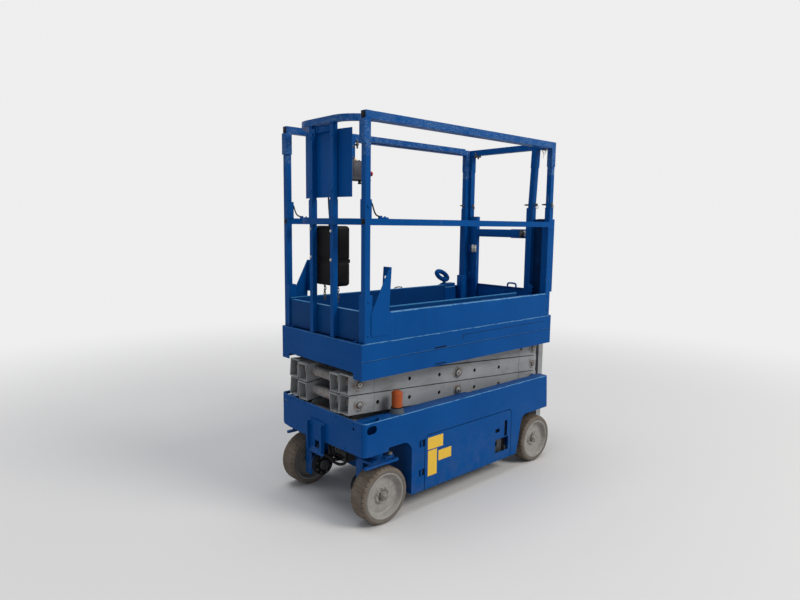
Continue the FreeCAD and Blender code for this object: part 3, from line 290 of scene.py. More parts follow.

# %% [markdown]
# ## Blue paint
# The panels and rails are bent sheet and tube in a deep blue, sprayed thick over
# old coats. Up close it has orange peel, hairline scuffs, a chalky light line where
# edges have rubbed, grey dust low down and dark dribbles under the bolts. Painted
# highlight lines run along some sheet edges, painted glints mix with the flecks of
# the hammered paint, and painted shade fills the slots. The Bevel node finds the
# edges for both the rounding and the wear, so the CAD mesh needs no change.

# %% Blue paint
deep_blue = (0.0006, 0.059, 0.232)
worn_blue = (0.014, 0.165, 0.420)
night_blue = (0.0005, 0.022, 0.085)
# a pale blue for painted highlight lines along sheet edges, mixed with rubbed paint
lit_rubbed_blue = (0.12, 0.30, 0.52)
# a pale blue for the flecks and the painted glints of the hammered paint
fleck_glint_blue = (0.215, 0.325, 0.445)
primer_grey = (0.34, 0.37, 0.40)
floor_dust = (0.17, 0.155, 0.135)


def blue_paint(name, scuff=0.35, hammer=0.0, dust_amount=0.0, edge=0.0016, chips=0.5, wear=0.7,
               lit_rubbed_bands=(), slots=(), scrapes=0.0, glint_fleck_from=0.0, shade_within=0.0, band_to=2.0):
    made, tree, skin = finish(name)
    place = add(tree, "TexCoord").outputs["Object"]
    along, across, height = add(tree, "SeparateXYZ", {0: place}).outputs
    facing = add(tree, "SeparateXYZ", {0: add(tree, "NewGeometry").outputs["Normal"]}).outputs
    outward = maths(tree, "ABSOLUTE", facing["Y"])
    upright = mask(tree, maths(tree, "ABSOLUTE", facing["Z"]), 0.8, 0.5)
    # painted highlight bands, mixed with rubbed paint, show most on the long sides
    band_place = times(tree, upright, spread(tree, outward, 0.3, 1.0),
                       mask(tree, along, band_to + 0.002, band_to))
    broad = noise(tree, place, 0.34, 3)
    colour = blend(tree, mask(tree, broad, 0.35, 0.7), deep_blue,
                   (deep_blue[0] + 0.001, deep_blue[1] * 1.16, deep_blue[2] * 1.12))
    # upright dribbles
    dribble = noise(tree, place, 0.03, 4, stretch=(1, 1, 0.12))
    colour = laid(tree, colour, night_blue, mask(tree, dribble, 0.60, 0.95), 0.30)
    # fine scuffs, long one way and short the other
    rub_long = noise(tree, place, 0.012, 5, 0.7, (0.08, 0.08, 1))
    rub_up = noise(tree, place, 0.010, 5, 0.7, (1, 1, 0.09))
    rub = most(tree, mask(tree, rub_long, 0.66, 0.74), mask(tree, rub_up, 0.68, 0.76))
    patch = mask(tree, noise(tree, place, 0.16, 4), 0.50, 0.66)
    colour = laid(tree, colour, worn_blue, rub, patch, scuff)
    if scrapes:
        # long upright scrapes down to the primer
        line = noise(tree, place, 0.0045, 2, 0.4, (1, 1, 0.012))
        where = mask(tree, noise(tree, place, 0.10, 3), 0.56, 0.62)
        colour = laid(tree, colour, primer_grey, mask(tree, line, 0.70, 0.74), where, scrapes)
    if hammer > 1:
        # pale flecks: partly pitted steel under thick paint, partly painted glints off the hammered bumps
        fleck_and_glint = mask(tree, noise(tree, place, 0.0055, 3, 0.65), 0.52, 0.60)
        cloud = mask(tree, noise(tree, place, 0.05, 3), 0.30, 0.62)
        reach = mask(tree, height, glint_fleck_from, glint_fleck_from + 0.01)
        colour = laid(tree, colour, fleck_glint_blue, fleck_and_glint, cloud, reach, 0.72)
    # worn edges, broken up by noise, and chips along them
    soft, along_edges = rounded_edges(tree, edge)
    breakup = mask(tree, noise(tree, place, 0.035, 5, 0.7), 0.40, 0.60)
    colour = laid(tree, colour, worn_blue, along_edges, breakup, wear)
    chip = mask(tree, noise(tree, place, 0.008, 4, 0.7), 0.64, 0.68)
    colour = laid(tree, colour, primer_grey, chip, along_edges, chips)
    for low, high, strength in lit_rubbed_bands:
        # a painted highlight line at one height, where a sheet's edge catches the light, mixed with rubbed
        # paint
        ragged = maths(tree, "SUBTRACT", noise(tree, place, 0.02, 4, 0.7, (0.3, 0.3, 1)), 0.5)
        band = between(tree, plus(tree, height, times(tree, ragged, 0.012)), low, high, 0.0012)
        gaps = mask(tree, noise(tree, place, 0.05, 4, 0.65), 0.28, 0.50)
        colour = laid(tree, colour, lit_rubbed_blue, band, gaps, band_place, strength)
    # dust that has settled low down, and a little on what faces up
    grit = mask(tree, noise(tree, place, 0.06, 5, 0.65), 0.42, 0.78)
    low_dust = times(tree, mask(tree, height, 0.50, 0.05), grit, dust_amount)
    flat_dust = times(tree, mask(tree, facing["Z"], 0.6, 0.95), mask(tree, broad, 0.35, 0.65), 0.10)
    dust = most(tree, low_dust, flat_dust)
    colour = blend(tree, dust, colour, floor_dust)
    if shade_within:
        # painted shade: below the kingpin plate, the part nearer the middle than this is coloured near black
        inner = mask(tree, maths(tree, "ABSOLUTE", across), shade_within + 0.001, shade_within - 0.001)
        colour = laid(tree, colour, (0.012, 0.013, 0.016), inner, mask(tree, height, 0.236, 0.232))
    peel, dents = noise(tree, place, 0.0035, 2), noise(tree, place, 0.12, 2)
    lumps = noise(tree, place, 0.0065, 3, 0.6)
    high = plus(tree, times(tree, peel, 0.10), times(tree, dents, 1.6), times(tree, lumps, hammer))
    if slots:
        # painted shade in the slots and recesses on the outer sides, with dark seams
        cuts = [times(tree, between(tree, along, x0, x1), between(tree, height, z0, z1))
                for x0, x1, z0, z1 in slots]
        cut = times(tree, most(tree, *cuts), mask(tree, outward, 0.7, 0.9))
        colour = blend(tree, cut, colour, (0.003, 0.006, 0.012))
        high = maths(tree, "SUBTRACT", high, times(tree, cut, 1.5))
    gloss = mask(tree, noise(tree, place, 0.09, 4), 0.3, 0.7)
    rough = plus(tree, spread(tree, gloss, 0.30, 0.48), times(tree, dust, 0.4))
    coat(tree, skin, colour, rough, 0.06, high, soft, 0.40, 0.0022)
    return made


def millimetre_slots(*rows):
    return [(at(x0, 0, 0).x, at(x1, 0, 0).x, z0 / 1000, z1 / 1000) for x0, x1, z0, z1 in rows]


# the bands below are painted highlight lines, mixed with rubbed paint, along the chassis top edge, the skirt's
# top and crease and the toe panels' top lip
panel_blue = blue_paint("panel blue", dust_amount=0.22, lit_rubbed_bands=((0.5660, 0.5715, 0.9),))
# the skirt's slots are painted shade in its slits and recesses, and its long seam is a dark joint
skirt_blue = blue_paint("skirt blue", scuff=0.5, lit_rubbed_bands=((0.9675, 0.9725, 1.0), (0.8822, 0.8836, 0.5)),
                        slots=millimetre_slots((-715, 68, 937, 939.5), (61, 66, 917, 938), (203, 296, 886, 894),
                                               (204, 292, 795, 801), (-803, 807, 879.2, 881.6)))
platform_blue = blue_paint("platform blue", scuff=0.5, edge=0.0024, wear=1.0, lit_rubbed_bands=((1.1160, 1.1225, 1.0),),
                           band_to=0.680)
# the two slots on the door are painted shade in the hinge notches
door_blue = blue_paint("door blue", dust_amount=0.18,
                       slots=millimetre_slots((375.5, 393, 355, 397), (375.5, 393, 189, 231)))
rail_blue = blue_paint("rail blue", scuff=0.6, hammer=0.25, chips=0.4, scrapes=0.7)
top_rail_blue = blue_paint("hammered rail blue", scuff=1.0, hammer=1.6, chips=0.7)
fitting_blue = blue_paint("fitting blue", scuff=0.8, hammer=0.3, chips=1.0, wear=1.0)
post_blue = blue_paint("post blue", scuff=0.7, hammer=1.2, chips=0.6, scrapes=0.7, glint_fleck_from=1.885)
knuckle_blue = blue_paint("knuckle blue", dust_amount=0.5, chips=0.8, shade_within=0.206)
print("blue finishes:", sum("blue" in made.name for made in bpy.data.materials))

# %% [markdown]
# ## Grey arms
# The scissor arms are rectangular tubes in pale grey paint. They are stained by
# grease round the pins, streaked by rust from the ends and dusty on top. The rust
# is laid with a soft ball of influence round each pin, so it follows the real
# places where the paint has cracked.

# %% Grey arms
def arm_grey(name, pins):
    made, tree, skin = finish(name)
    place = add(tree, "TexCoord").outputs["Object"]
    broad = noise(tree, place, 0.22, 4)
    colour = blend(tree, mask(tree, broad, 0.3, 0.72), (0.205, 0.214, 0.222), (0.290, 0.300, 0.306))
    cloud = noise(tree, place, 0.05, 5, 0.65, (0.35, 1, 1))
    colour = laid(tree, colour, (0.118, 0.118, 0.116), mask(tree, cloud, 0.5, 0.72), 0.5)
    rub = noise(tree, place, 0.012, 5, 0.7, (0.06, 0.5, 1))
    colour = laid(tree, colour, (0.40, 0.41, 0.42), mask(tree, rub, 0.64, 0.74), 0.5)
    soft, along_edges = rounded_edges(tree, 0.0022)
    grit = mask(tree, noise(tree, place, 0.02, 5, 0.7), 0.42, 0.62)
    colour = laid(tree, colour, (0.16, 0.135, 0.11), along_edges, grit, 0.5)
    spots = most(tree, *[near(tree, place, at(x, 0, z), 0.085, (1, 0, 1.2)) for x, z in pins])
    rust = plus(tree, times(tree, spots, 0.42), noise(tree, place, 0.022, 6, 0.7))
    rust = mask(tree, rust, 0.74, 0.92)
    colour = laid(tree, colour, (0.20, 0.085, 0.032), rust, 0.8)
    grease = plus(tree, times(tree, spots, 0.5), noise(tree, place, 0.05, 4))
    colour = laid(tree, colour, (0.09, 0.085, 0.075), mask(tree, grease, 0.78, 1.0), 0.55)
    rough = plus(tree, spread(tree, cloud, 0.42, 0.62), times(tree, rust, 0.25))
    high = plus(tree, times(tree, noise(tree, place, 0.004, 3), 0.2), times(tree, rust, 0.6))
    coat(tree, skin, colour, rough, 0.5, high, soft, 0.4, 0.0015)
    return made


arm_finish = {}
for level in levels:
    low, high = pin_heights(level)
    for kind, rear, front in (("outer", low, high), ("inner", high, low)):
        arm_finish["arm_%s_%d" % (kind, level)] = arm_grey(
            "%s arm grey %d" % (kind, level),
            [(rear_pin, rear), (middle_pin, (low + high) / 2), (front_pin, front)])
print("arm finishes:", len(arm_finish))

# %% [markdown]
# ## Tyres and rims
# Non-marking tyres are a pale grey-beige compound. The tread is scrubbed and
# brown with dirt, and short cuts run over its shoulder. The cuts follow the wheel
# round, so the nodes work out the angle about the axle with an arctangent and turn
# it into evenly spaced thin lines.

# %% Tyres
def tyre_rubber(name, axle_x):
    made, tree, skin = finish(name)
    place = add(tree, "TexCoord").outputs["Object"]
    axle = at(axle_x, wheel_face - tyre_width / 2, axle_rise)
    along, across, height = add(tree, "SeparateXYZ", {0: place}).outputs
    x, z = maths(tree, "SUBTRACT", along, axle.x), maths(tree, "SUBTRACT", height, axle.z)
    radius = maths(tree, "SQRT", plus(tree, times(tree, x, x), times(tree, z, z)))
    waves = maths(tree, "SINE", times(tree, maths(tree, "ARCTAN2", z, x), 34.0))
    # cuts only on the outer and inner shoulders, of uneven length
    from_middle = maths(tree, "SUBTRACT", maths(tree, "ABSOLUTE", across), axle.y)
    ragged = times(tree, noise(tree, place, 0.03, 3), 0.012)
    shoulder = mask(tree, plus(tree, maths(tree, "ABSOLUTE", from_middle), ragged), 0.041, 0.044)
    cuts = times(tree, mask(tree, waves, 0.88, 0.97), shoulder, mask(tree, radius, 0.143, 0.146))
    cloud = noise(tree, place, 0.05, 5, 0.6)
    colour = blend(tree, mask(tree, cloud, 0.3, 0.7), (0.122, 0.096, 0.073), (0.178, 0.146, 0.116))
    tread = mask(tree, radius, 0.1495, 0.1515)
    scrub = noise(tree, place, 0.012, 5, 0.7, (1, 0.12, 1))
    colour = laid(tree, colour, (0.075, 0.054, 0.038), tread, mask(tree, scrub, 0.35, 0.75))
    # the flank is cleaner and greyer
    colour = laid(tree, colour, (0.138, 0.128, 0.116), mask(tree, radius, 0.142, 0.134), 0.72)
    # the cuts are painted near black as the shade inside them
    colour = laid(tree, colour, (0.022, 0.019, 0.016), cuts, 0.9)
    grain, lumps = noise(tree, place, 0.003, 4, 0.7), noise(tree, place, 0.02, 4, 0.7)
    high = plus(tree, times(tree, grain, 0.5), times(tree, lumps, 0.9))
    high = maths(tree, "SUBTRACT", high, times(tree, cuts, 2.2))
    coat(tree, skin, colour, 0.88, 0.25, high, rounded_edges(tree, 0.003)[0], 0.6, 0.0016)
    return made


tyre_finish = {place: tyre_rubber(place + " tyre", axle_x) for place, axle_x in axles.items()}
print("tyre finishes:", len(tyre_finish))


# %% Rims
def rim_paint(name, axle_x):
    made, tree, skin = finish(name)
    place = add(tree, "TexCoord").outputs["Object"]
    cloud = noise(tree, place, 0.04, 5, 0.65)
    colour = blend(tree, mask(tree, cloud, 0.35, 0.7), (0.330, 0.314, 0.292), (0.245, 0.229, 0.208))
    stain = noise(tree, place, 0.013, 6, 0.75)
    colour = laid(tree, colour, (0.150, 0.125, 0.100), mask(tree, stain, 0.58, 0.70), 0.6)
    # darker towards the hub
    centre = near(tree, place, at(axle_x, 0, axle_rise), 0.075, (1, 0, 1))
    hub_darkening = plus(tree, times(tree, centre, 0.5), noise(tree, place, 0.018, 4))
    colour = laid(tree, colour, (0.050, 0.044, 0.038), mask(tree, hub_darkening, 0.72, 0.95), 0.8)
    soft, along_edges = rounded_edges(tree, 0.0018)
    colour = laid(tree, colour, (0.12, 0.10, 0.085), along_edges, 0.5)
    coat(tree, skin, colour, 0.55, 0.3, noise(tree, place, 0.004, 4, 0.6), soft, 0.3, 0.001)
    return made


rim_finish = {place: rim_paint(place + " rim", axle_x) for place, axle_x in axles.items()}
print("rim finishes:", len(rim_finish))

# %% [markdown]
# ## Small finishes
# One helper makes the plainer finishes: a base colour, a second colour that clouds
# over it, a grain for the bump, and rubbed edges. Steel uses it with a metallic
# value, and moulded plastic with a fine grain.


# %% Small finishes
def plain_finish(name, first, second, rough, grain=0.003, metal=0.0, bumpiness=0.3, edge=0.0012,
                 edge_colour=None, cloud_size=0.05, shine=0.5):
    made, tree, skin = finish(name)
    place = add(tree, "TexCoord").outputs["Object"]
    cloud = mask(tree, noise(tree, place, cloud_size, 5, 0.65), 0.35, 0.68)
    colour = blend(tree, cloud, first, second)
    soft, along_edges = rounded_edges(tree, edge)
    if edge_colour:
        chipped = mask(tree, noise(tree, place, 0.02, 4), 0.4, 0.6)
        colour = laid(tree, colour, edge_colour, along_edges, chipped)
    skin.inputs["Metallic"].default_value = metal
    high = noise(tree, place, grain, 3)
    coat(tree, skin, colour, spread(tree, cloud, *rough), shine, high, soft, bumpiness, 0.001)
    return made


bright_steel = plain_finish("bright steel", (0.56, 0.56, 0.55), (0.40, 0.38, 0.35), (0.28, 0.5), 0.006, 1.0)
pin_steel = plain_finish("dull pin steel", (0.36, 0.355, 0.345), (0.22, 0.195, 0.170), (0.35, 0.6), 0.005,
                         0.85)
dark_steel = plain_finish("black steel", (0.035, 0.036, 0.038), (0.07, 0.065, 0.06), (0.45, 0.65), 0.004,
                          edge_colour=(0.16, 0.14, 0.12))
rusty_steel = plain_finish("rusty steel", (0.070, 0.042, 0.028), (0.13, 0.095, 0.068), (0.7, 0.9), 0.004,
                           0.3, 0.6, cloud_size=0.02)
black_mould = plain_finish("black moulding", (0.0038, 0.0034, 0.0045), (0.0075, 0.0068, 0.0072), (0.40, 0.6),
                           0.0016, bumpiness=0.25, edge=0.002, edge_colour=(0.028, 0.026, 0.026), shine=0.09)
black_rubber = plain_finish("black rubber", (0.006, 0.006, 0.007), (0.016, 0.015, 0.015), (0.55, 0.75), 0.002,
                            shine=0.12)
grey_box = plain_finish("grey control box", (0.048, 0.047, 0.056), (0.070, 0.069, 0.078), (0.45, 0.6), 0.002,
                        edge_colour=(0.16, 0.16, 0.17), shine=0.3)
stop_red = plain_finish("stop button red", (0.42, 0.008, 0.012), (0.33, 0.010, 0.012), (0.25, 0.4),
                        shine=0.35)
sign_yellow = plain_finish("blank sign yellow", (0.78, 0.48, 0.02), (0.70, 0.44, 0.045), (0.4, 0.6), 0.004,
                           edge=0.0006, edge_colour=(0.30, 0.24, 0.12), cloud_size=0.03)
brass = plain_finish("brass", (0.60, 0.42, 0.16), (0.46, 0.30, 0.10), (0.3, 0.5), 0.004, 1.0)
battery_case = plain_finish("battery case", (0.028, 0.029, 0.032), (0.05, 0.05, 0.05), (0.5, 0.7), 0.002)
battery_lid = plain_finish("battery lid", (0.33, 0.05, 0.035), (0.26, 0.05, 0.04), (0.5, 0.65), 0.002)
shade_blue = plain_finish("blue in shade", night_blue, (0.0004, 0.012, 0.045), (0.4, 0.6), 0.004, shine=0.06)
base_grey = plain_finish("beacon base grey", (0.045, 0.062, 0.082), (0.075, 0.090, 0.110), (0.4, 0.6),
                         shine=0.2)
cream_pump = plain_finish("pump tank", (0.55, 0.53, 0.48), (0.40, 0.38, 0.34), (0.5, 0.7), 0.003)
print("small finishes ready")

# %% [markdown]
# ### Amber beacon
# The flashing beacon is a ribbed amber lens. Clear plastic over a lamp glows a
# little from inside, so the shader mixes a warm base with some transmission and a
# faint ring pattern from the ribs, made by a sine of the height.

# %% Amber lens
def amber_lens():
    made, tree, skin = finish("amber lens")
    height = add(tree, "SeparateXYZ", {0: add(tree, "TexCoord").outputs["Object"]}).outputs["Z"]
    ribs = maths(tree, "SINE", times(tree, height, 1150.0))
    colour = blend(tree, mask(tree, ribs, -1, 1), (0.34, 0.050, 0.002), (0.56, 0.105, 0.004))
    skin.inputs["Transmission Weight"].default_value = 0.25
    skin.inputs["Subsurface Weight"].default_value = 0.2
    skin.inputs["Subsurface Scale"].default_value = 0.02
    coat(tree, skin, colour, 0.32, 0.3, ribs, rounded_edges(tree, 0.004)[0], 0.35, 0.0008)
    return made


amber = amber_lens()
print("amber lens nodes:", len(amber.node_tree.nodes))

# %% [markdown]
# ## Deck plate
# The floor of the sliding deck is pressed with raised lozenges so that boots grip.
# The lozenges are pattern, not mesh: two sine waves across each other make them, and
# the paint on their tops is worn to bare grey steel.

# %% Deck plate
def pressed_plate(spacing=0.030):
    made, tree, skin = finish("pressed deck plate")
    place = add(tree, "TexCoord").outputs["Object"]
    along, across, height = add(tree, "SeparateXYZ", {0: place}).outputs
    turn = 2 * math.pi / spacing
    one = maths(tree, "SINE", times(tree, plus(tree, along, across), turn))
    two = maths(tree, "SINE", times(tree, maths(tree, "SUBTRACT", along, across), turn))
    up = add(tree, "SeparateXYZ", {0: add(tree, "NewGeometry").outputs["Normal"]}).outputs["Z"]
    level = mask(tree, up, 0.8, 0.95)
    bumps = times(tree, mask(tree, times(tree, one, two), 0.30, 0.62), level)
    cloud = noise(tree, place, 0.20, 4)
    colour = blend(tree, mask(tree, cloud, 0.35, 0.7), deep_blue, (0.002, 0.085, 0.320))
    worn = mask(tree, noise(tree, place, 0.12, 5), 0.42, 0.60)
    colour = laid(tree, colour, (0.20, 0.22, 0.24), bumps, worn, 0.8)
    grit = mask(tree, noise(tree, place, 0.05, 5, 0.7), 0.45, 0.75)
    colour = laid(tree, colour, floor_dust, grit, level, 0.4)
    # painted shade on the upright sheets, and a painted highlight along their top edges
    upright = mask(tree, maths(tree, "ABSOLUTE", up), 0.6, 0.3)
    colour = laid(tree, colour, (0.0008, 0.030, 0.110), upright, 0.75)
    lip = times(tree, level, mask(tree, height, 1.105, 1.112))
    lip = most(tree, lip, mask(tree, height, 1.1335, 1.1355))
    colour = laid(tree, colour, (0.050, 0.235, 0.475), lip, 0.85)
    coat(tree, skin, colour, 0.5, 0.08, bumps, rounded_edges(tree, 0.0016)[0], 0.7, 0.0015)
    return made


deck_plate = pressed_plate()
print("deck plate nodes:", len(deck_plate.node_tree.nodes))

# %% [markdown]
# ## Dress the CAD pieces
# A CAD piece whose shape is right keeps its mesh and only takes a finish. A table
# from the start of a name to a finish is shorter and safer than fifty lines.

# %% Dress the CAD pieces
finish_by_name = [
    ("arm_", None), ("tyre_front", tyre_finish["front"]), ("tyre_rear", tyre_finish["rear"]),
    ("rim_front", rim_finish["front"]), ("rim_rear", rim_finish["rear"]), ("beacon_lens", amber),
    ("beacon_base", base_grey), ("lift_barrel", dark_steel), ("lift_rod", bright_steel),
    ("tie_bar", arm_finish["arm_outer_1"]), ("rear_axle", dark_steel), ("front_axle", panel_blue),
    ("manual_box", black_mould), ("control_box", grey_box), ("box_hanger", rail_blue),
    ("ladder", arm_finish["arm_inner_1"]), ("extension_rail_top", top_rail_blue),
    ("side_rails_top", top_rail_blue), ("side_rails", rail_blue), ("extension_rail", rail_blue),
    ("corner_posts", post_blue), ("knuckle", knuckle_blue), ("rear_frame", rail_blue), ("gate", rail_blue),
    ("extension_deck", deck_plate), ("extension_posts", rail_blue), ("control_shield", rail_blue),
    ("blades", platform_blue), ("platform_skirt", skirt_blue), ("platform_", platform_blue),
    ("toe_panel", platform_blue), ("tray_door", door_blue), ("tray_load", dark_steel),
    ("tray_pan", dark_steel), ("", panel_blue),
]
for name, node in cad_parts.items():
    chosen = next(made for start, made in finish_by_name if name.startswith(start))
    if chosen is None:
        chosen = arm_finish[name]
    node.data.materials.clear()
    node.data.materials.append(chosen)
print("dressed", len(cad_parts), "CAD pieces")

# %% [markdown]
# ## Building helpers
# New pieces are made with bmesh operators: a beveled block, a rod between two
# points, a hexagon bolt, a bent rod along a smooth line. Each helper adds its shape
# to an open bmesh, in millimetres through `at`, and `settle` turns that bmesh into
# one named piece on its body.


# %% Building helpers
def block(form, low, high, soft=1.0, steps=2):
    low, high = at(*map(min, low, high)), at(*map(max, low, high))
    size = Matrix.Diagonal((*(high - low), 1))
    made = bmesh.ops.create_cube(form, size=1, matrix=Matrix.Translation((low + high) / 2) @ size)
    if soft:
        edges = list({e for v in made["verts"] for e in v.link_edges})
        bmesh.ops.bevel(form, geom=edges, offset=soft / 1000, segments=steps, profile=0.5, affect="EDGES",
                        material=-1)


def rod(form, start, stop, radius, sides=24, soft=0.0, tip=None, steps=2):
    start, stop = at(*start), at(*stop)
    along = stop - start
    turn = along.to_track_quat("Z", "Y").to_matrix().to_4x4()
    made = bmesh.ops.create_cone(form, cap_ends=True, segments=sides, radius1=radius / 1000,
                                 radius2=(radius if tip is None else tip) / 1000, depth=along.length,
                                 matrix=Matrix.Translation((start + stop) / 2) @ turn)
    if soft:
        caps = {f for v in made["verts"] for f in v.link_faces if len(f.verts) == sides}
        rims = list({e for f in caps for e in f.edges})
        bmesh.ops.bevel(form, geom=rims, offset=soft / 1000, segments=steps, profile=0.5, affect="EDGES",
                        material=-1)


def bolt(form, place, out, radius=6.0, head=5.0, washer=1.5):
    place, out = Vector(place), Vector(out).normalized()
    rod(form, place - out * 0.5, place + out * washer, radius * 1.5, 20, 0.4)
    rod(form, place + out * washer, place + out * (washer + head), radius, 6, 0.6)


def bent_rod(form, points, radius, closed=False):
    # a smooth line through soft corners, given a round section and taken into the bmesh
    line = bpy.data.curves.new("bent rod", "CURVE")
    line.dimensions = "3D"
    line.bevel_depth = radius / 1000
    line.bevel_resolution = 3
    line.resolution_u = 6
    line.use_fill_caps = not closed
    run = line.splines.new("NURBS")
    run.points.add(len(points) - 1)
    for spot, place in zip(run.points, points):
        spot.co = (*at(*place), 1)
    run.order_u = 3
    run.use_cyclic_u = closed
    run.use_endpoint_u = not closed
    holder = bpy.data.objects.new("bent rod", line)
    mesh = bpy.data.meshes.new_from_object(holder)
    form.from_mesh(mesh)
    bpy.data.meshes.remove(mesh)
    bpy.data.objects.remove(holder)
    bpy.data.curves.remove(line)


def settle(form, name, body, surface, smooth=35):
    bmesh.ops.remove_doubles(form, verts=form.verts, dist=0.00001)
    bmesh.ops.recalc_face_normals(form, faces=form.faces)
    mesh = bpy.data.meshes.new(name)
    form.to_mesh(mesh)
    form.free()
    mesh.materials.append(surface)
    for face in mesh.polygons:
        face.use_smooth = True
    mesh.set_sharp_from_angle(angle=math.radians(smooth))
    made = bpy.data.objects.new(name, mesh)
    scene.collection.objects.link(made)
    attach(made, body)
    return made


print("building helpers ready")

# %% [markdown]
# ## Pin lanyards
# The front guard rails are held by pins that hang on short black wire ropes. Each
# rope leaves the post's collar, bends down under its own stiffness and ends in a
# small lug on the middle rail. A rope is a curve with a few control points, so it
# stays smooth.

# %% Pin lanyards
for hand, side in sides:
    rope_points = [(749, side * 352, 1672), (736, side * 353, 1664), (728, side * 354, 1636),
                   (716, side * 354, 1610), (700, side * 353, 1600), (684, side * 353, 1598)]
    rope_line = bpy.data.curves.new("pin_lanyard_" + hand, "CURVE")
    rope_line.dimensions = "3D"
    rope_line.bevel_depth = 0.0038
    rope_line.bevel_resolution = 3
    rope_line.resolution_u = 8
    rope_line.use_fill_caps = True
    rope_run = rope_line.splines.new("NURBS")
    rope_run.points.add(len(rope_points) - 1)
    for spot, place in zip(rope_run.points, rope_points):
        spot.co = (*at(*place), 1)
    rope_run.order_u = 3
    rope_run.use_endpoint_u = True
    rope_line.materials.append(black_rubber)
    rope = bpy.data.objects.new("pin_lanyard_" + hand, rope_line)
    scene.collection.objects.link(rope)
    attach(rope, "platform")
    lugs = bmesh.new()
    block(lugs, (634, side * 342, 1587), (690, side * 362, 1595), 2)
    rod(lugs, (690, side * 353, 1598), (672, side * 353, 1598), 4.6, 16, 1.0)
    rod(lugs, (752, side * 352, 1672), (741, side * 353, 1668), 4.6, 16, 1.0)
    bolt(lugs, (652, side * 352, 1594.6), (0, 0, 1), 5.0, 4.0)
    settle(lugs, "lanyard_lugs_" + hand, "platform", fitting_blue)
print("two lanyards")

# %% [markdown]
# ## Pin heads on the arms
# Each pin ends in a chamfered head on a washer, held by a bolt and a keeper. They sit
# at the front, the middle and the rear of every outer arm, on both sides. One loop
# over the arms makes them, and the pieces ride on their own arm.

# %% Pin heads
for level in levels:
    low, high = pin_heights(level)
    spots = [(middle_pin, (low + high) / 2)]
    if level < 3:
        spots.append((front_pin, high))
    if level > 1:
        spots.append((rear_pin, low))
    heads, rings = bmesh.new(), bmesh.new()
    for x, z in spots:
        for hand, side in sides:
            big = 1.0 if x == middle_pin else 0.74
            rod(rings, (x, side * 283, z), (x, side * 284.5, z), 25.0 * big, 36, 0.5)
            rod(heads, (x, side * 284, z), (x, side * 287, z), 19.0 * big, 32, 1.0)
            bolt(heads, (x - 2, side * 286.5, z + 2), (0, side, 0), 9.5 * big, 7.0)
            block(heads, (x - 9, side * 277, z - 30), (x + 13, side * 280.5, z - 19), 1.2)
            bolt(heads, (x + 4, side * 280, z - 24.5), (0, side, 0), 4.6, 3.5, 1.0)
    settle(rings, "pin_rings_" + str(level), "outer_arm_" + str(level), dark_steel)
    settle(heads, "pin_heads_" + str(level), "outer_arm_" + str(level), pin_steel)
print("pin heads on three arms")

# %% [markdown]
# ## Weld beads and end plates on the arms
# The open ends of the beams are stiffened with a welded plate, whose seam shows as a
# ridge across the beam near each end. A thin rod half sunk in the face reads as a
# bead at this size.

# %% Arm seams
for level in levels:
    low = pin_heights(level)[0]
    slope = pin_rise / (front_pin - rear_pin)
    seams = bmesh.new()
    for x in (648, -599):
        centre_z = low + (x - rear_pin) * slope
        for hand, side in sides:
            rod(seams, (x + 3.4, side * 274.6, centre_z - 47),
                (x - 3.4, side * 274.6, centre_z + 47), 2.6, 10)
    settle(seams, "arm_seams_" + str(level), "outer_arm_" + str(level), arm_finish["arm_outer_" + str(level)])
print("seams on three arms")

# %% [markdown]
# ## Wheel centres
# Each wheel carries a slotted nut on its stub, a thin washer and a ring of small
# bolts on the raised hub. They turn with the wheel, so each set rides on its wheel.

# %% Wheel centres
hub, cap, height = 364, 372, axle_rise
for place, axle_x in axles.items():
    for hand, side in sides:
        centre = bmesh.new()
        rod(centre, (axle_x, side * (cap - 1), height), (axle_x, side * (cap + 2), height), 23, 32, 0.8)
        rod(centre, (axle_x, side * (cap + 2), height), (axle_x, side * (cap + 10), height), 17.0, 6, 1.2)
        rod(centre, (axle_x, side * (cap + 10), height), (axle_x, side * (cap + 13), height), 11.5, 24, 1.0)
        rod(centre, (axle_x, side * (cap + 13), height), (axle_x, side * (cap + 16), height), 7.5, 20, 1.0)
        rod(centre, (axle_x - 19, side * (cap + 7), height + 3),
            (axle_x + 19, side * (cap + 7), height - 3), 1.6, 8)
        for step in range(5):
            angle = math.radians(72 * step + 15)
            x, z = axle_x + 34.5 * math.cos(angle), height + 34.5 * math.sin(angle)
            bolt(centre, (x, side * hub, z), (0, side, 0), 6.0, 5.0, 1.0)
        wheel = place + "_" + hand
        settle(centre, "wheel_centre_" + wheel, "wheel_" + wheel, pin_steel)
print("wheel centres:", 4)

# %% [markdown]
# ## Blank signs
# Three yellow stickers sit by the door's hinge. They are kept as blank plates: a
# thin sheet with rounded corners, beveled from a block.

# %% Blank signs
for hand, side in sides:
    signs = bmesh.new()
    for x0, x1, z0, z1 in ((235, 356, 327, 396), (283, 354, 175, 321), (166, 271, 246, 306)):
        block(signs, (x0, side * 387.9, z0), (x1, side * 388.5, z1), 0.2, 1)
    settle(signs, "blank_signs_" + hand, "tray_" + hand, sign_yellow)
print("blank signs on both doors")

# %% [markdown]
# ## Tray hinges and latches
# The door swings on two barrels in notches of the chassis side. A dark block behind
# each notch is painted shade that makes it read as a hole, and the pin has a head above and a clip below.
# Behind the long slot a paddle latch is bolted to the door, and behind the square
# hole sits a recessed plug socket with its flap.

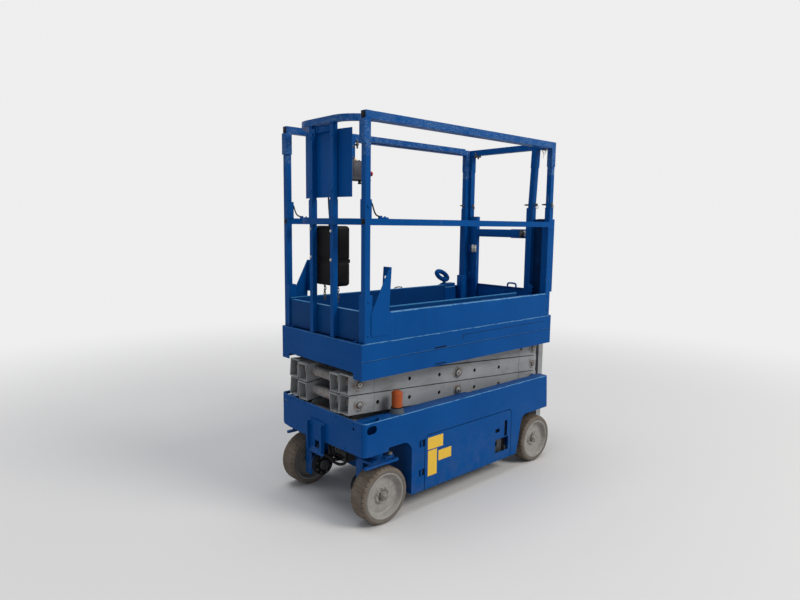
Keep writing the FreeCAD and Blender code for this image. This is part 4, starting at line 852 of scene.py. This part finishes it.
# %% Tray hinges and latches
for hand, side in sides:
    notch_shade_and_pins = bmesh.new()
    for z in (376, 210):
        # the dark block behind the notch is painted shade for the hole
        block(notch_shade_and_pins, (371, side * 370, z - 21), (421, side * 372.5, z + 21), 0.8)
        rod(notch_shade_and_pins, (400, side * 380, z + 25), (400, side * 380, z + 30), 7.0, 16, 1.2)
        rod(notch_shade_and_pins, (400, side * 380, z - 30), (400, side * 380, z - 25), 7.0, 16, 1.2)
    settle(notch_shade_and_pins, "hinge_shade_and_pins_" + hand, "chassis", dark_steel)
    latch = bmesh.new()
    block(latch, (-352, side * 372, 240), (-318, side * 375.5, 354), 1.5)
    block(latch, (-344, side * 375.5, 268), (-326, side * 380, 326), 2.5)
    bolt(latch, (-335, side * 375, 256), (0, side, 0), 4.5, 3.0, 1.0)
    bolt(latch, (-335, side * 375, 338), (0, side, 0), 4.5, 3.0, 1.0)
    block(latch, (-366, side * 352, 150), (-230, side * 356, 246), 2.0)
    block(latch, (-352, side * 356, 162), (-300, side * 362, 222), 3.0)
    rod(latch, (-264, side * 356, 205), (-264, side * 366, 205), 17, 28, 1.5)
    block(latch, (-283, side * 356, 160), (-245, side * 360, 182), 1.5)
    block(latch, (-278, side * 372, 283), (-228, side * 375, 315), 1.0)
    settle(latch, "door_fittings_" + hand, "tray_" + hand, black_mould)
print("hinges and latches on both sides")

# %% [markdown]
# ## Chassis fittings
# The tow bracket is bolted through the front panel, and small bolts hold the panel
# to the well behind it. At the rear there are an inlet with a flap, an emergency
# lowering knob and the bolts of the back panel. They are placed in a table, so a
# bolt is one short row.

# %% Chassis fittings
front_bolts = bmesh.new()
for y, z in ((-66, 470), (32, 470), (-58, 350), (24, 350)):
    bolt(front_bolts, (814, y, z), (1, 0, 0), 7.0, 5.0)
for y, z in ((-300, 552), (-150, 552), (150, 552), (300, 552), (-230, 404), (230, 404)):
    bolt(front_bolts, (808, y, z), (1, 0, 0), 5.0, 3.5, 1.0)
settle(front_bolts, "front_panel_bolts", "chassis", fitting_blue)
rear_fittings = bmesh.new()
for y in (-320, -180, 180, 320):
    for z in (366, 416):
        bolt(rear_fittings, (-760, y, z), (-1, 0, 0), 5.0, 3.5, 1.0)
settle(rear_fittings, "rear_panel_bolts", "chassis", pin_steel)
inlet = bmesh.new()
block(inlet, (-764, -140, 362), (-759, -70, 420), 2.0)
block(inlet, (-772, -134, 368), (-763, -76, 412), 4.0, 3)
rod(inlet, (-768, -136, 414), (-768, -74, 414), 4.0, 16, 0.8)
rod(inlet, (-759, 100, 392), (-765, 100, 392), 17, 28, 1.5)
settle(inlet, "charge_inlet", "chassis", black_mould)
knob = bmesh.new()
rod(knob, (-764, 100, 392), (-776, 100, 392), 5.0, 20, 0.5)
rod(knob, (-776, 100, 392), (-788, 100, 392), 13.5, 32, 3.5, steps=3)
settle(knob, "lowering_knob", "chassis", stop_red)
print("chassis fittings placed")

# %% [markdown]
# ## Beacon details
# The lens sits in a dark collar, held by three small screws.

# %% Beacon collar
collar = bmesh.new()
rod(collar, (549, 344, 597), (549, 344, 604), 32.0, 36, 1.5)
for step in range(3):
    angle = math.radians(120 * step + 40)
    bolt(collar, (549 + 36 * math.cos(angle), 344 + 36 * math.sin(angle), 577),
         (math.cos(angle), math.sin(angle), 1.2), 3.2, 2.4, 0.8)
settle(collar, "beacon_collar", "chassis", black_rubber)
print("beacon collar placed")

# %% [markdown]
# ## Steering fittings
# Each knuckle carries four bolts on its kingpin plate and the nut of the tie bar's pin.
# The drive motor on its inner side has a bolted end cover with two hose ports. All of
# it turns with the knuckle.

# %% Steering fittings
for hand, side in sides:
    steer = bmesh.new()
    rod(steer, (560, side * 300, 344.6), (560, side * 300, 346.2), 14, 24, 0.5)
    rod(steer, (560, side * 300, 346.2), (560, side * 300, 349.2), 10.5, 6, 0.6)
    settle(steer, "link_nut_" + hand, "steer_" + hand, pin_steel)
    steer = bmesh.new()
    for x, y, radius in ((622, 340, 7.0), (700, 340, 7.0), (742, 366, 5.5), (584, 366, 5.5)):
        bolt(steer, (x, side * y, 332), (0, 0, 1), radius, 5.0)
    ports = bmesh.new()
    for step in range(8):
        angle = math.radians(45 * step + 22)
        bolt(ports, (660 + 50 * math.cos(angle), side * 168.5, 152.5 + 50 * math.sin(angle)),
             (0, -side, 0), 5.0, 4.0, 1.0)
    settle(steer, "steering_bolts_" + hand, "steer_" + hand, fitting_blue)
    rod(ports, (660, side * 169, 152.5), (660, side * 155, 152.5), 30, 32, 3.0)
    for x in (640, 680):
        rod(ports, (x, side * 200, 205), (x, side * 200, 226), 9.0, 6, 1.0)
        bent_rod(ports, [(x, side * 200, 222), (x, side * 200, 246), (x, side * 206, 262),
                         (x - 18, side * 214, 268)],
                 5.5)
    settle(ports, "motor_ports_" + hand, "steer_" + hand, dark_steel)
print("steering fittings on both knuckles")

# %% [markdown]
# ## Drive manifold
# Under the front of the chassis hangs a dark valve block that feeds the two drive
# motors. Its hoses cross under it and rise in front of the axle beam. All of it keeps
# clear of the tie bar and between the turning circles of the two drums.

# %% Drive manifold
manifold_block = bmesh.new()
block(manifold_block, (606, -64, 236), (678, 64, 326), 4.0, 3)
block(manifold_block, (648, -40, 316), (704, 40, 352), 3.0)
for y in (-44, -15, 15, 44):
    rod(manifold_block, (676, y, 262), (692, y, 262), 11, 6, 1.0)
    rod(manifold_block, (676, y, 300), (688, y, 300), 8, 20, 1.0)
settle(manifold_block, "drive_manifold", "chassis", dark_steel)
drive_hoses = bmesh.new()
for hand, side in sides:
    bent_rod(drive_hoses, [(690, side * -44, 262), (716, side * -44, 258), (728, side * 2, 252 - 7 * side),
                           (720, side * 70, 246 - 7 * side), (708, side * 112, 262), (714, side * 126, 310),
                           (730, side * 128, 370), (730, side * 128, 432)], 8.0)
    bent_rod(drive_hoses, [(690, side * 15, 262), (712, side * 15, 262), (726, side * 18, 300),
                           (730, side * 20, 370), (730, side * 20, 432)], 6.5)
settle(drive_hoses, "drive_hoses", "chassis", black_rubber)
print("drive manifold with four hoses")

# %% [markdown]
# ## Rear drums
# The rear wheels turn on fixed stubs whose drums are bolted to the axle beam.

# %% Rear drum bolts
drums = bmesh.new()
for hand, side in sides:
    for step in range(6):
        angle = math.radians(60 * step)
        bolt(drums, (-660 + 49 * math.cos(angle), side * 200, 152.5 + 49 * math.sin(angle)), (0, -side, 0),
             5.0, 4.0, 1.0)
settle(drums, "rear_drum_bolts", "chassis", pin_steel)
print("rear drum bolts placed")

# %% [markdown]
# ## Lift cylinder
# The barrel ends in a ring nut with a wiper lip, and near its foot sits the valve
# block with its coil. They ride on the barrel, which tilts as the arms rise, so
# their places are worked out along the cylinder's own line.

# %% Lift cylinder fittings
foot = Vector((-745, 0, 636))
line_angle = math.atan2(127.2, 1197.0)
line_along = Vector((math.cos(line_angle), 0, math.sin(line_angle)))
line_up = Vector((-math.sin(line_angle), 0, math.cos(line_angle)))


def on_line(reach, across, up):
    return foot + line_along * reach + line_up * up + Vector((0, across, 0))


gland = bmesh.new()
rod(gland, on_line(1084, 0, 0), on_line(1114, 0, 0), 41, 36, 1.5)
rod(gland, on_line(1114, 0, 0), on_line(1121, 0, 0), 31, 36, 2.0)
for step in range(6):
    angle = math.radians(60 * step + 15)
    rod(gland, on_line(1099, 41 * math.cos(angle), 41 * math.sin(angle)),
        on_line(1099, 43.5 * math.cos(angle), 43.5 * math.sin(angle)), 4.0, 12, 0.5)
settle(gland, "cylinder_gland", "cylinder_barrel", pin_steel)
valve = bmesh.new()
rod(valve, on_line(150, 0, 36), on_line(150, 0, 52), 21, 28, 1.5)
rod(valve, on_line(150, 0, 52), on_line(150, 0, 66), 15, 6, 1.5)
bent_rod(valve, [on_line(160, 8, 58), on_line(185, 12, 58), on_line(215, 18, 50), on_line(330, 20, 38),
                 on_line(520, 20, 38)], 5.5)
settle(valve, "cylinder_valve", "cylinder_barrel", black_rubber)
print("cylinder fittings placed")

# %% [markdown]
# ## Batteries and power unit
# When a tray swings out it shows what the CAD block stands for. The left tray holds
# two traction batteries with caps and cables, and the right one the pump's tank, its
# motor and a valve block. Each group replaces its plain CAD block.

# %% Batteries
cases = bmesh.new()
lids = bmesh.new()
posts = bmesh.new()
cables = bmesh.new()
for x0 in (-324, 14):
    x1 = x0 + 320
    block(cases, (x0, 184, 117), (x1, 366, 318), 6.0, 3)
    for rib in range(5):
        x = x0 + 36 + rib * 62
        block(cases, (x - 14, 364, 135), (x + 14, 367.5, 296), 2.5)
        block(cases, (x - 14, 182.5, 135), (x + 14, 186, 296), 2.5)
    block(lids, (x0 - 1, 183, 318), (x1 + 1, 367, 338), 6.0, 3)
    for cell in range(3):
        x = x0 + 68 + cell * 92
        rod(lids, (x, 275, 337), (x, 275, 346), 22, 28, 2.5)
        rod(lids, (x, 275, 346), (x, 275, 351), 12, 12, 1.0)
    for x in (x0 + 38, x1 - 38):
        rod(posts, (x, 214, 337), (x, 214, 349), 9.5, 24, 1.0, 8.5)
        rod(posts, (x, 214, 345), (x, 214, 357), 6.0, 6, 0.8)
    bent_rod(cables, [(x0 + 10, 275, 330), (x0 + 30, 275, 368), (x1 - 30, 275, 368),
                      (x1 - 10, 275, 330)], 4.0)
bent_rod(cables, [(-42, 214, 352), (-20, 214, 366), (10, 210, 366), (35, 214, 366), (52, 214, 352)], 6.5)
bent_rod(cables, [(-286, 214, 352), (-318, 208, 362), (-322, 196, 300), (-322, 192, 180)], 6.5)
bent_rod(cables, [(296, 214, 352), (322, 208, 362), (336, 196, 300), (336, 192, 180)], 6.5)
battery_cases = settle(cases, "battery_cases", "tray_left", battery_case)
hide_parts("tray_load_left")
settle(lids, "battery_lids", "tray_left", battery_lid)
settle(posts, "battery_posts", "tray_left", brass)
settle(cables, "battery_cables", "tray_left", black_rubber)
print("two batteries on the left tray")

# %% Power unit
tank = bmesh.new()
block(tank, (60, -364, 120), (330, -190, 330), 16.0, 4)
rod(tank, (290, -240, 329), (290, -240, 346), 21, 24, 3.0)
block(tank, (70, -367, 200), (320, -362, 212), 2.0)
power_tank = settle(tank, "power_unit_tank", "tray_right", cream_pump)
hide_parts("tray_load_right")
pump_motor = bmesh.new()
rod(pump_motor, (50, -277, 212), (-150, -277, 212), 62, 40, 4.0, steps=3)
rod(pump_motor, (-150, -277, 212), (-172, -277, 212), 44, 36, 3.0)
rod(pump_motor, (20, -277, 212), (34, -277, 212), 64, 40, 1.5)
rod(pump_motor, (-128, -277, 212), (-142, -277, 212), 64, 40, 1.5)
block(pump_motor, (-120, -330, 120), (10, -224, 156), 3.0)
for x in (-80, -40):
    rod(pump_motor, (x, -277, 270), (x, -277, 292), 8.0, 6, 1.0)
settle(pump_motor, "power_unit_motor", "tray_right", dark_steel)
manifold = bmesh.new()
block(manifold, (-310, -350, 122), (-196, -214, 236), 2.5)
for x, y in ((-286, -322), (-246, -322), (-286, -250), (-246, -250), (-218, -286)):
    rod(manifold, (x, y, 236), (x, y, 262), 15, 6, 1.5)
    rod(manifold, (x, y, 262), (x, y, 300), 17, 24, 2.0)
for y in (-320, -285, -250):
    rod(manifold, (-196, y, 180), (-184, y, 180), 11, 6, 1.0)
settle(manifold, "valve_block", "tray_right", bright_steel)
hoses = bmesh.new()
for y, rise in ((-320, 300), (-285, 330), (-250, 300)):
    bent_rod(hoses, [(-186, y, 180), (-168, y, 182), (-160, y, rise), (-60, y, rise + 8), (40, y, rise),
                     (56, y, 262), (64, y, 258)], 6.5)
settle(hoses, "power_unit_hoses", "tray_right", black_rubber)
print("power unit on the right tray")

# %% [markdown]
# ## Ladder grips
# The three treads are punched so that boots don't slip. Each tread carries two rows
# of raised rings with few faces, because there are many.

# %% Ladder grips
grips = bmesh.new()
for step in range(3):
    top = 215 + (724 - 215) * step / 2 + 26
    for row, x in enumerate((-943, -929, -916)):
        for spot in range(11):
            y = -170 + spot * 34 + (17 if row == 1 else 0)
            if abs(y) < 182:
                rod(grips, (x, y, top - 0.5), (x, y, top + 2.2), 5.2, 10, 0, 3.6)
settle(grips, "ladder_grips", "chassis", arm_finish["arm_inner_1"])
print("ladder grips on three treads")

# %% [markdown]
# ## Control box details
# The upper control box has a red stop button on its rear face, a key switch under
# it, a joystick in a rubber boot on top and a guard lip below. The button is a rod
# whose rim is beveled deep enough to make a mushroom.

# %% Control box details
stop_button = bmesh.new()
rod(stop_button, (297, -212, 1860), (287, -212, 1860), 10, 28, 0.6)
rod(stop_button, (288, -212, 1860), (274, -212, 1860), 14.5, 32, 5.0, steps=4)
settle(stop_button, "stop_button", "sliding_deck", stop_red)
control_parts = bmesh.new()
rod(control_parts, (309, -212, 1860), (296, -212, 1860), 15, 32, 1.5)
block(control_parts, (300, -226, 1812), (318, -198, 1836), 3.0, 3)
rod(control_parts, (301, -212, 1824), (292, -212, 1824), 7.5, 20, 1.0)
rod(control_parts, (418, -256, 1927), (418, -256, 1933), 16.5, 32, 1.5)
for step, radius in enumerate((15.5, 13, 10.5)):
    rod(control_parts, (418, -256, 1932 + step * 5), (418, -256, 1938 + step * 5), radius, 32, 1.5,
        radius - 2.5)
rod(control_parts, (418, -256, 1944), (418, -256, 1964), 5.0, 24, 0.5)
rod(control_parts, (418, -256, 1960), (418, -256, 1980), 9.5, 32, 4.0, 8.5, steps=3)
block(control_parts, (322, -272, 1927), (352, -244, 1931), 1.5)
for y in (-263, -252):
    rod(control_parts, (337, y, 1930), (337, y, 1940), 3.4, 16, 1.0)
rod(control_parts, (374, -204, 1818), (374, -204, 1800), 8.5, 20, 1.5)
rod(control_parts, (374, -204, 1803), (374, -204, 1794), 11.0, 24, 2.5)
rod(control_parts, (443, -240, 1842), (462, -240, 1842), 10.5, 6, 1.0)
rod(control_parts, (460, -240, 1842), (474, -240, 1842), 8.0, 24, 2.0, 6.0)
block(control_parts, (300, -285, 1816), (446, -186, 1820), 1.5)
settle(control_parts, "control_fittings", "sliding_deck", black_mould)
face_plate = bmesh.new()
block(face_plate, (322, -190.5, 1838), (430, -187.8, 1918), 1.0)
for x in (328, 424):
    for z in (1844, 1912):
        rod(face_plate, (x, -188.4, z), (x, -185.8, z), 4.2, 16, 0.8)
settle(face_plate, "control_face_plate", "sliding_deck", grey_box)
strap_parts = bmesh.new()
block(strap_parts, (350, -283.5, 1922), (371, -262, 1937), 2.0)
rod(strap_parts, (340, -270, 2054), (340, -270, 2008), 5.5, 20, 2.0)
rod(strap_parts, (340, -283, 2032), (340, -262, 2032), 8.0, 6, 1.0)
for z in (1955, 2020):
    bolt(strap_parts, (360, -280, z), (0, 1, 0), 5.0, 4.0, 1.0)
settle(strap_parts, "strap_clamps", "sliding_deck", dark_steel)
fork = bmesh.new()
for x in (354, 366):
    rod(fork, (x, -262, 1928), (x, -262, 1944), 4.6, 16, 1.2)
settle(fork, "box_connectors", "sliding_deck", brass)
print("control box dressed")

# %% [markdown]
# ## Control cable
# The control lead leaves the box forward, runs behind the shield, and is clipped
# down to the manual box, where it ends in a gland. It is held all the way by clips, so it
# is a fixed bent rod rather than a hanging cord.

# %% Control cable
lead = bmesh.new()
bent_rod(lead, [(470, -240, 1842), (520, -240, 1840), (600, -200, 1836), (700, -60, 1834), (748, 10, 1826),
                (766, 30, 1780), (768, 36, 1700), (770, 42, 1640), (762, 42, 1556)], 4.5)
rod(lead, (762, 42, 1566), (762, 42, 1546), 8.0, 20, 1.5, 10.5)
block(lead, (760, 25, 1740), (777, 52, 1750), 2.0)
settle(lead, "control_cable", "sliding_deck", black_rubber)
print("control cable clipped down to the manual box")

# %% [markdown]
# ## Front posts and bow
# Small bolts hold the posts to the shield and the box, a short plate ties the two
# posts under the upper bowed tube, and the open tubes are closed with ribbed plugs.

# %% Front posts
ties = bmesh.new()
block(ties, (796, -52, 2024), (802, 108, 2059), 1.0)
block(ties, (799, -46, 2020), (812, -24, 2046), 2.0)
bolt(ties, (802, -10, 2038), (1, 0, 0), 7.0, 5.0)
block(ties, (801.6, 26, 2041), (804, 74, 2052), 0.8)
settle(ties, "bow_tie_plate", "sliding_deck", fitting_blue)
post_bolts = bmesh.new()
for y, z in ((-72, 1531), (-72, 1382), (112, 1523), (112, 1375)):
    bolt(post_bolts, (810, y, z), (1, 0, 0), 5.4, 3.6, 1.0)
settle(post_bolts, "front_post_bolts", "sliding_deck", bright_steel)
painted_bolts = bmesh.new()
for y, z in ((-58, 1290), (128, 1290), (-65, 1180), (121, 1180)):
    bolt(painted_bolts, (810, y, z), (1, 0, 0), 4.4, 3.2, 1.0)
for y, z in ((-65, 2000), (121, 2000), (-65, 1730), (121, 1730)):
    bolt(painted_bolts, (810, y, z), (1, 0, 0), 5.0, 4.0, 1.0)
for y in (-65, 121):
    for z in (2000, 1730):
        bolt(painted_bolts, (778, y, z), (-1, 0, 0), 5.0, 4.0, 1.0)
settle(painted_bolts, "painted_post_bolts", "sliding_deck", fitting_blue)
plugs = bmesh.new()
for hand, side in sides:
    for top, size in ((2095, 38), (1588, 33)):
        y0, y1 = 369 - size + 3.2, 369 - 3.2
        block(plugs, (770, side * (y0 - 2), top - size + 1.5), (789.8, side * (y1 + 2), top - 1.5), 1.5)
        block(plugs, (788, side * (y0 + 6), top - size + 9), (791, side * (y1 - 6), top - 9), 1.2)
settle(plugs, "rail_plugs", "platform", black_mould)
print("front posts and plugs")

# %% [markdown]
# ## Manual box
# The box that keeps the handbook is moulded in two halves with fat round corners,
# and a groove runs round it where they close. Two beveled blocks over a slightly
# smaller core make that groove, and the piece takes the place of the plain CAD box.

# %% Manual box
shell = bmesh.new()
block(shell, (692, -80, 1235), (782, 127, 1365), 19, 5)
block(shell, (692, -80, 1369), (782, 127, 1550), 19, 5)
block(shell, (697, -75, 1252), (777, 122, 1532), 6, 3)
box_shell = settle(shell, "manual_box_shell", "sliding_deck", black_mould)
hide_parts("manual_box")
box_fittings = bmesh.new()
block(box_fittings, (690.0, 0, 1350), (696, 48, 1392), 2.0, 3)
block(box_fittings, (688.6, 10, 1344), (692, 38, 1366), 1.2)
for y in (-60, 106):
    block(box_fittings, (690, y - 14, 1356), (696, y + 14, 1376), 2.0)
for y in (-40, 10, 60, 100):
    block(box_fittings, (690.5, y - 3, 1255), (693.5, y + 3, 1335), 1.4)
settle(box_fittings, "manual_box_fittings", "sliding_deck", black_mould)
chain = bmesh.new()
for start_y, links in ((-22, 6), (96, 6)):
    for step in range(links):
        z = 1230 - step * 14
        turn = step % 2
        y = start_y + (3 if step % 3 == 1 else -2)
        bent_rod(chain, [(752 + way * 5 * turn, y + way * 5 * (1 - turn), z + rise)
                         for way, rise in ((-1, 9), (1, 9), (1, -9), (-1, -9))],
                 2.5, closed=True)
settle(chain, "box_chain", "sliding_deck", dark_steel)
print("manual box latch and chain")

# %% [markdown]
# ## Lock pins
# Six pins lock the folding rails. The four at the rear stand at one height. Each
# passes across its post, with a head on the outer side, a tapered tip on the other
# and a split ring in the head. The two at the front are short and plain.

# %% Lock pins
pins = bmesh.new()
for head, tip in (((-761, 373), (-761, 291)), ((-765, 252), (-765, 148)), ((-765, -304), (-765, -352)),
                  ((-757, -345), (-666, -345))):
    start, stop = Vector((*head, 1701)), Vector((*tip, 1701))
    along = (stop - start).normalized()
    cross = Vector((-along.y, along.x, 0))
    rod(pins, start, start + along * 5, 9.5, 24, 1.5)
    rod(pins, start + along * 3, stop - along * 14, 5.4, 20)
    rod(pins, stop - along * 14, stop, 5.4, 20, 0, 2.4)
    ring = start - along * 2
    bent_rod(pins, [ring - cross * 10 - Vector((0, 0, 3)), ring + cross * 10 - Vector((0, 0, 3)),
                    ring + cross * 11 - Vector((0, 0, 25)),
                    ring - cross * 11 - Vector((0, 0, 25))], 1.5, closed=True)
settle(pins, "lock_pins", "platform", rusty_steel)
front_pins = bmesh.new()
for hand, side in sides:
    rod(front_pins, (770, side * 372.5, 1646), (770, side * 330, 1646), 4.5, 20, 0.6)
    rod(front_pins, (770, side * 374.5, 1646), (770, side * rail_face, 1646), 8.5, 24, 1.2)
settle(front_pins, "front_lock_pins", "platform", fitting_blue)
print("six lock pins")

# %% [markdown]
# ## Gate
# The swing gate is a post on two hinges that carries a deep cross bar and a toe
# plate with a folded lip. It is built again here, because the bar is deeper and its
# free end is open, and the new piece takes the place of the CAD gate. The upper
# hinge has bare metal leaves and the lower one is painted over.

# %% Gate
gate_form = bmesh.new()
block(gate_form, (-777, -309, 992), (-745, -247, 1621), 2.5)
block(gate_form, (-777, -250, 1481), (-745, 66, 1535), 2.5)
block(gate_form, (-777, -250, 992), (-773.5, 178, 1138), 0.8)
block(gate_form, (-777, -250, 1134.5), (-764, 178, 1138), 0.8)
block(gate_form, (-777, 174.5, 992), (-764, 178, 1138), 0.8)
for z in (1193, 1393):
    rod(gate_form, (-739, -311, z - 26), (-739, -311, z + 26), 6.0, 24, 0.6)
    block(gate_form, (-746, -309, z - 26), (-738, -296, z + 26), 0.8)
for y in (-283, -262):
    for z in (1171, 1193, 1215):
        rod(gate_form, (-745.5, y, z), (-741.5, y, z), 4.0, 12, 0.8)
block(gate_form, (-746, -294, 1160), (-743, -252, 1226), 1.0)
gate_piece = settle(gate_form, "gate_frame", "gate", rail_blue)
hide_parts("gate")
plug = bmesh.new()
block(plug, (-774, -306, 1618), (-748, -250, 1624), 2.0)
settle(plug, "gate_post_plug", "gate", black_mould)
leaves, screws = bmesh.new(), bmesh.new()
for y0, y1 in ((-302, -282), (-273, -248)):
    block(leaves, (-745.5, y0, 1368), (-741.5, y1, 1418), 1.0)
    for z in (1376, 1393, 1410):
        rod(screws, (-742, (y0 + y1) / 2, z), (-739.5, (y0 + y1) / 2, z), 4.2, 12, 0.8)
rod(leaves, (-740, -277.5, 1364), (-740, -277.5, 1422), 5.4, 20, 1.0)
settle(leaves, "gate_hinge_leaves", "gate", bright_steel)
settle(screws, "gate_hinge_screws", "gate", dark_steel)
gate_hoop = bmesh.new()
bent_rod(gate_hoop, [(-776, 22, 1106), (-776, 22, 1140), (-776, 24, 1160), (-776, 44, 1163), (-776, 74, 1163),
                     (-776, 94, 1160), (-776, 96, 1140), (-776, 96, 1106)], 6.2)
for y in (22, 96):
    block(gate_hoop, (-782, y - 10, 1096), (-771, y + 10, 1114), 2.0)
settle(gate_hoop, "gate_hoop", "gate", fitting_blue)
latch_block = bmesh.new()
block(latch_block, (-779, 60, 1477), (-743, 128, 1538), 2.0)
block(latch_block, (-779, 126, 1477), (-775, 162, 1538), 1.0)
block(latch_block, (-779, 126, 1477), (-743, 162, 1481), 1.0)
settle(latch_block, "gate_latch_block", "gate", fitting_blue)
latch_pin = bmesh.new()
block(latch_pin, (-775, 120, 1484), (-748, 138, 1532), 2.0)
rod(latch_pin, (-760, 136, 1508), (-760, 150, 1508), 14.0, 28, 3.0)
settle(latch_pin, "gate_latch_pin", "gate", dark_steel)
keeper = bmesh.new()
block(keeper, (-776, 141, 1490), (-770, 163, 1528), 1.5)
settle(keeper, "gate_latch_keeper", "gate", bright_steel)
print("gate hardware placed")

# %% [markdown]
# ## Small things on the platform
# Behind the right toe panel stands the pull lever of the sliding deck's lock, a thick
# cast link with an eye. Beside it a low grab loop sits on the panel's lip. Under the rear
# cross rail hang a clamp and a twisted wire tie.

# %% Lock lever and loops
lever = bmesh.new()
eye_line = []
for step in range(10):
    angle = math.radians(36 * step)
    along, up = 62 * math.cos(angle), 23 * math.sin(angle)
    eye_line.append((-487 + along * 0.91 - up * 0.42, -340, 1202 + along * 0.42 + up * 0.91))
bent_rod(lever, eye_line, 16.0, closed=True)
rod(lever, (-520, -340, 1190), (-504, -340, 1136), 15.0, 20, 2.0, 11.0)
block(lever, (-548, -352, 1122), (-462, -328, 1140), 3.0)
block(lever, (-598, -352, 1120), (-470, -330, 1130), 2.0)
bolt(lever, (-575, -341, 1130), (0, 0, 1), 6.0, 4.5)
settle(lever, "deck_lock_lever", "platform", fitting_blue)
loop = bmesh.new()
bent_rod(loop, [(-44, -358, 1118), (-48, -358, 1136), (-62, -358, 1142), (-104, -358, 1142),
                (-118, -358, 1136),
                (-122, -358, 1118)], 4.0)
settle(loop, "grab_loop", "platform", dark_steel)
tie = bmesh.new()
bent_rod(tie, [(-752, 282, 2056), (-744, 286, 2044), (-746, 300, 2036), (-752, 318, 2042),
               (-756, 322, 2056)], 1.2)
bent_rod(tie, [(-752, 290, 2056), (-745, 294, 2030), (-744, 306, 2018), (-750, 314, 2034),
               (-756, 310, 2056)], 1.2)
bent_rod(tie, [(-746, 300, 2036), (-743, 306, 2014), (-744, 298, 1998)], 1.0)
block(tie, (-788, 286, 2050), (-742, 292, 2058), 1.0)
settle(tie, "wire_tie", "platform", dark_steel)
clamp = bmesh.new()
block(clamp, (-788, -292, 2046), (-742, -262, 2059), 2.0)
rod(clamp, (-765, -270, 2048), (-765, -270, 2034), 6.5, 6, 1.0)
rod(clamp, (-744, -277, 2040), (-744, -277, 2078), 6.0, 20, 1.0)
settle(clamp, "cross_rail_clamp", "platform", dark_steel)
print("lever, loop, tie and clamp")

# %% [markdown]
# ## Platform plates and bolts
# Sockets are bolted to the skirt, a narrow cover plate closes the near rear corner,
# and small bolts hold the post sockets. Beads of weld fill the corner between
# the skirt's top and the toe panel.

# %% Platform plates and bolts
plates = bmesh.new()
block(plates, (-802, 362, 1130), (-779, 368.9, 1606), 1.5)
block(plates, (-741, 226, 1105), (-737, 256, 1170), 2.0)
block(plates, (-748, -366, 972), (-672, -319, 1196), 2.5)
rod(plates, (-738, 262, 1128), (-730, 262, 1128), 6.5, 6, 1.0)
rod(plates, (-738, 262, 1154), (-730, 262, 1154), 6.5, 6, 1.0)
settle(plates, "corner_cover_plates", "platform", fitting_blue)
# the tall panel beside the gate is coloured with a painted shade and has one rounded corner
panel = bmesh.new()
low, high = at(-771.5, 236, 980), at(-768, 320, 1608)
placed = Matrix.Translation((low + high) / 2) @ Matrix.Diagonal((*(high - low), 1))
made = bmesh.ops.create_cube(panel, size=1, matrix=placed)
corner = [e for e in panel.edges if all(v.co.y < low.y + 0.001 and v.co.z > high.z - 0.001 for v in e.verts)]
bmesh.ops.bevel(panel, geom=corner, offset=0.03, segments=6, profile=0.5, affect="EDGES", material=-1)
settle(panel, "corner_panel", "platform", shade_blue)
socket_bolts = bmesh.new()
for hand, side in sides:
    rear_x = -756 if side > 0 else -721
    for x, z in ((768, 1010), (768, 1180), (rear_x, 1010), (rear_x, 1100), (rear_x, 1540)):
        bolt(socket_bolts, (x, side * rail_face, z), (0, side, 0), 5.0, 4.0, 1.0)
settle(socket_bolts, "socket_bolts", "platform", fitting_blue)
welds = bmesh.new()
for hand, side in sides:
    rear_end = -733 if side > 0 else -698
    rod(welds, (rear_end, side * 369.2, 972), (743, side * 369.2, 972), 1.8, 8)
    for x in (766, -760 if side > 0 else -725):
        rod(welds, (x - 22, side * 369.2, 973), (x + 22, side * 369.2, 973), 2.4, 8)
settle(welds, "platform_welds", "platform", skirt_blue)
print("plates, bolts and welds")
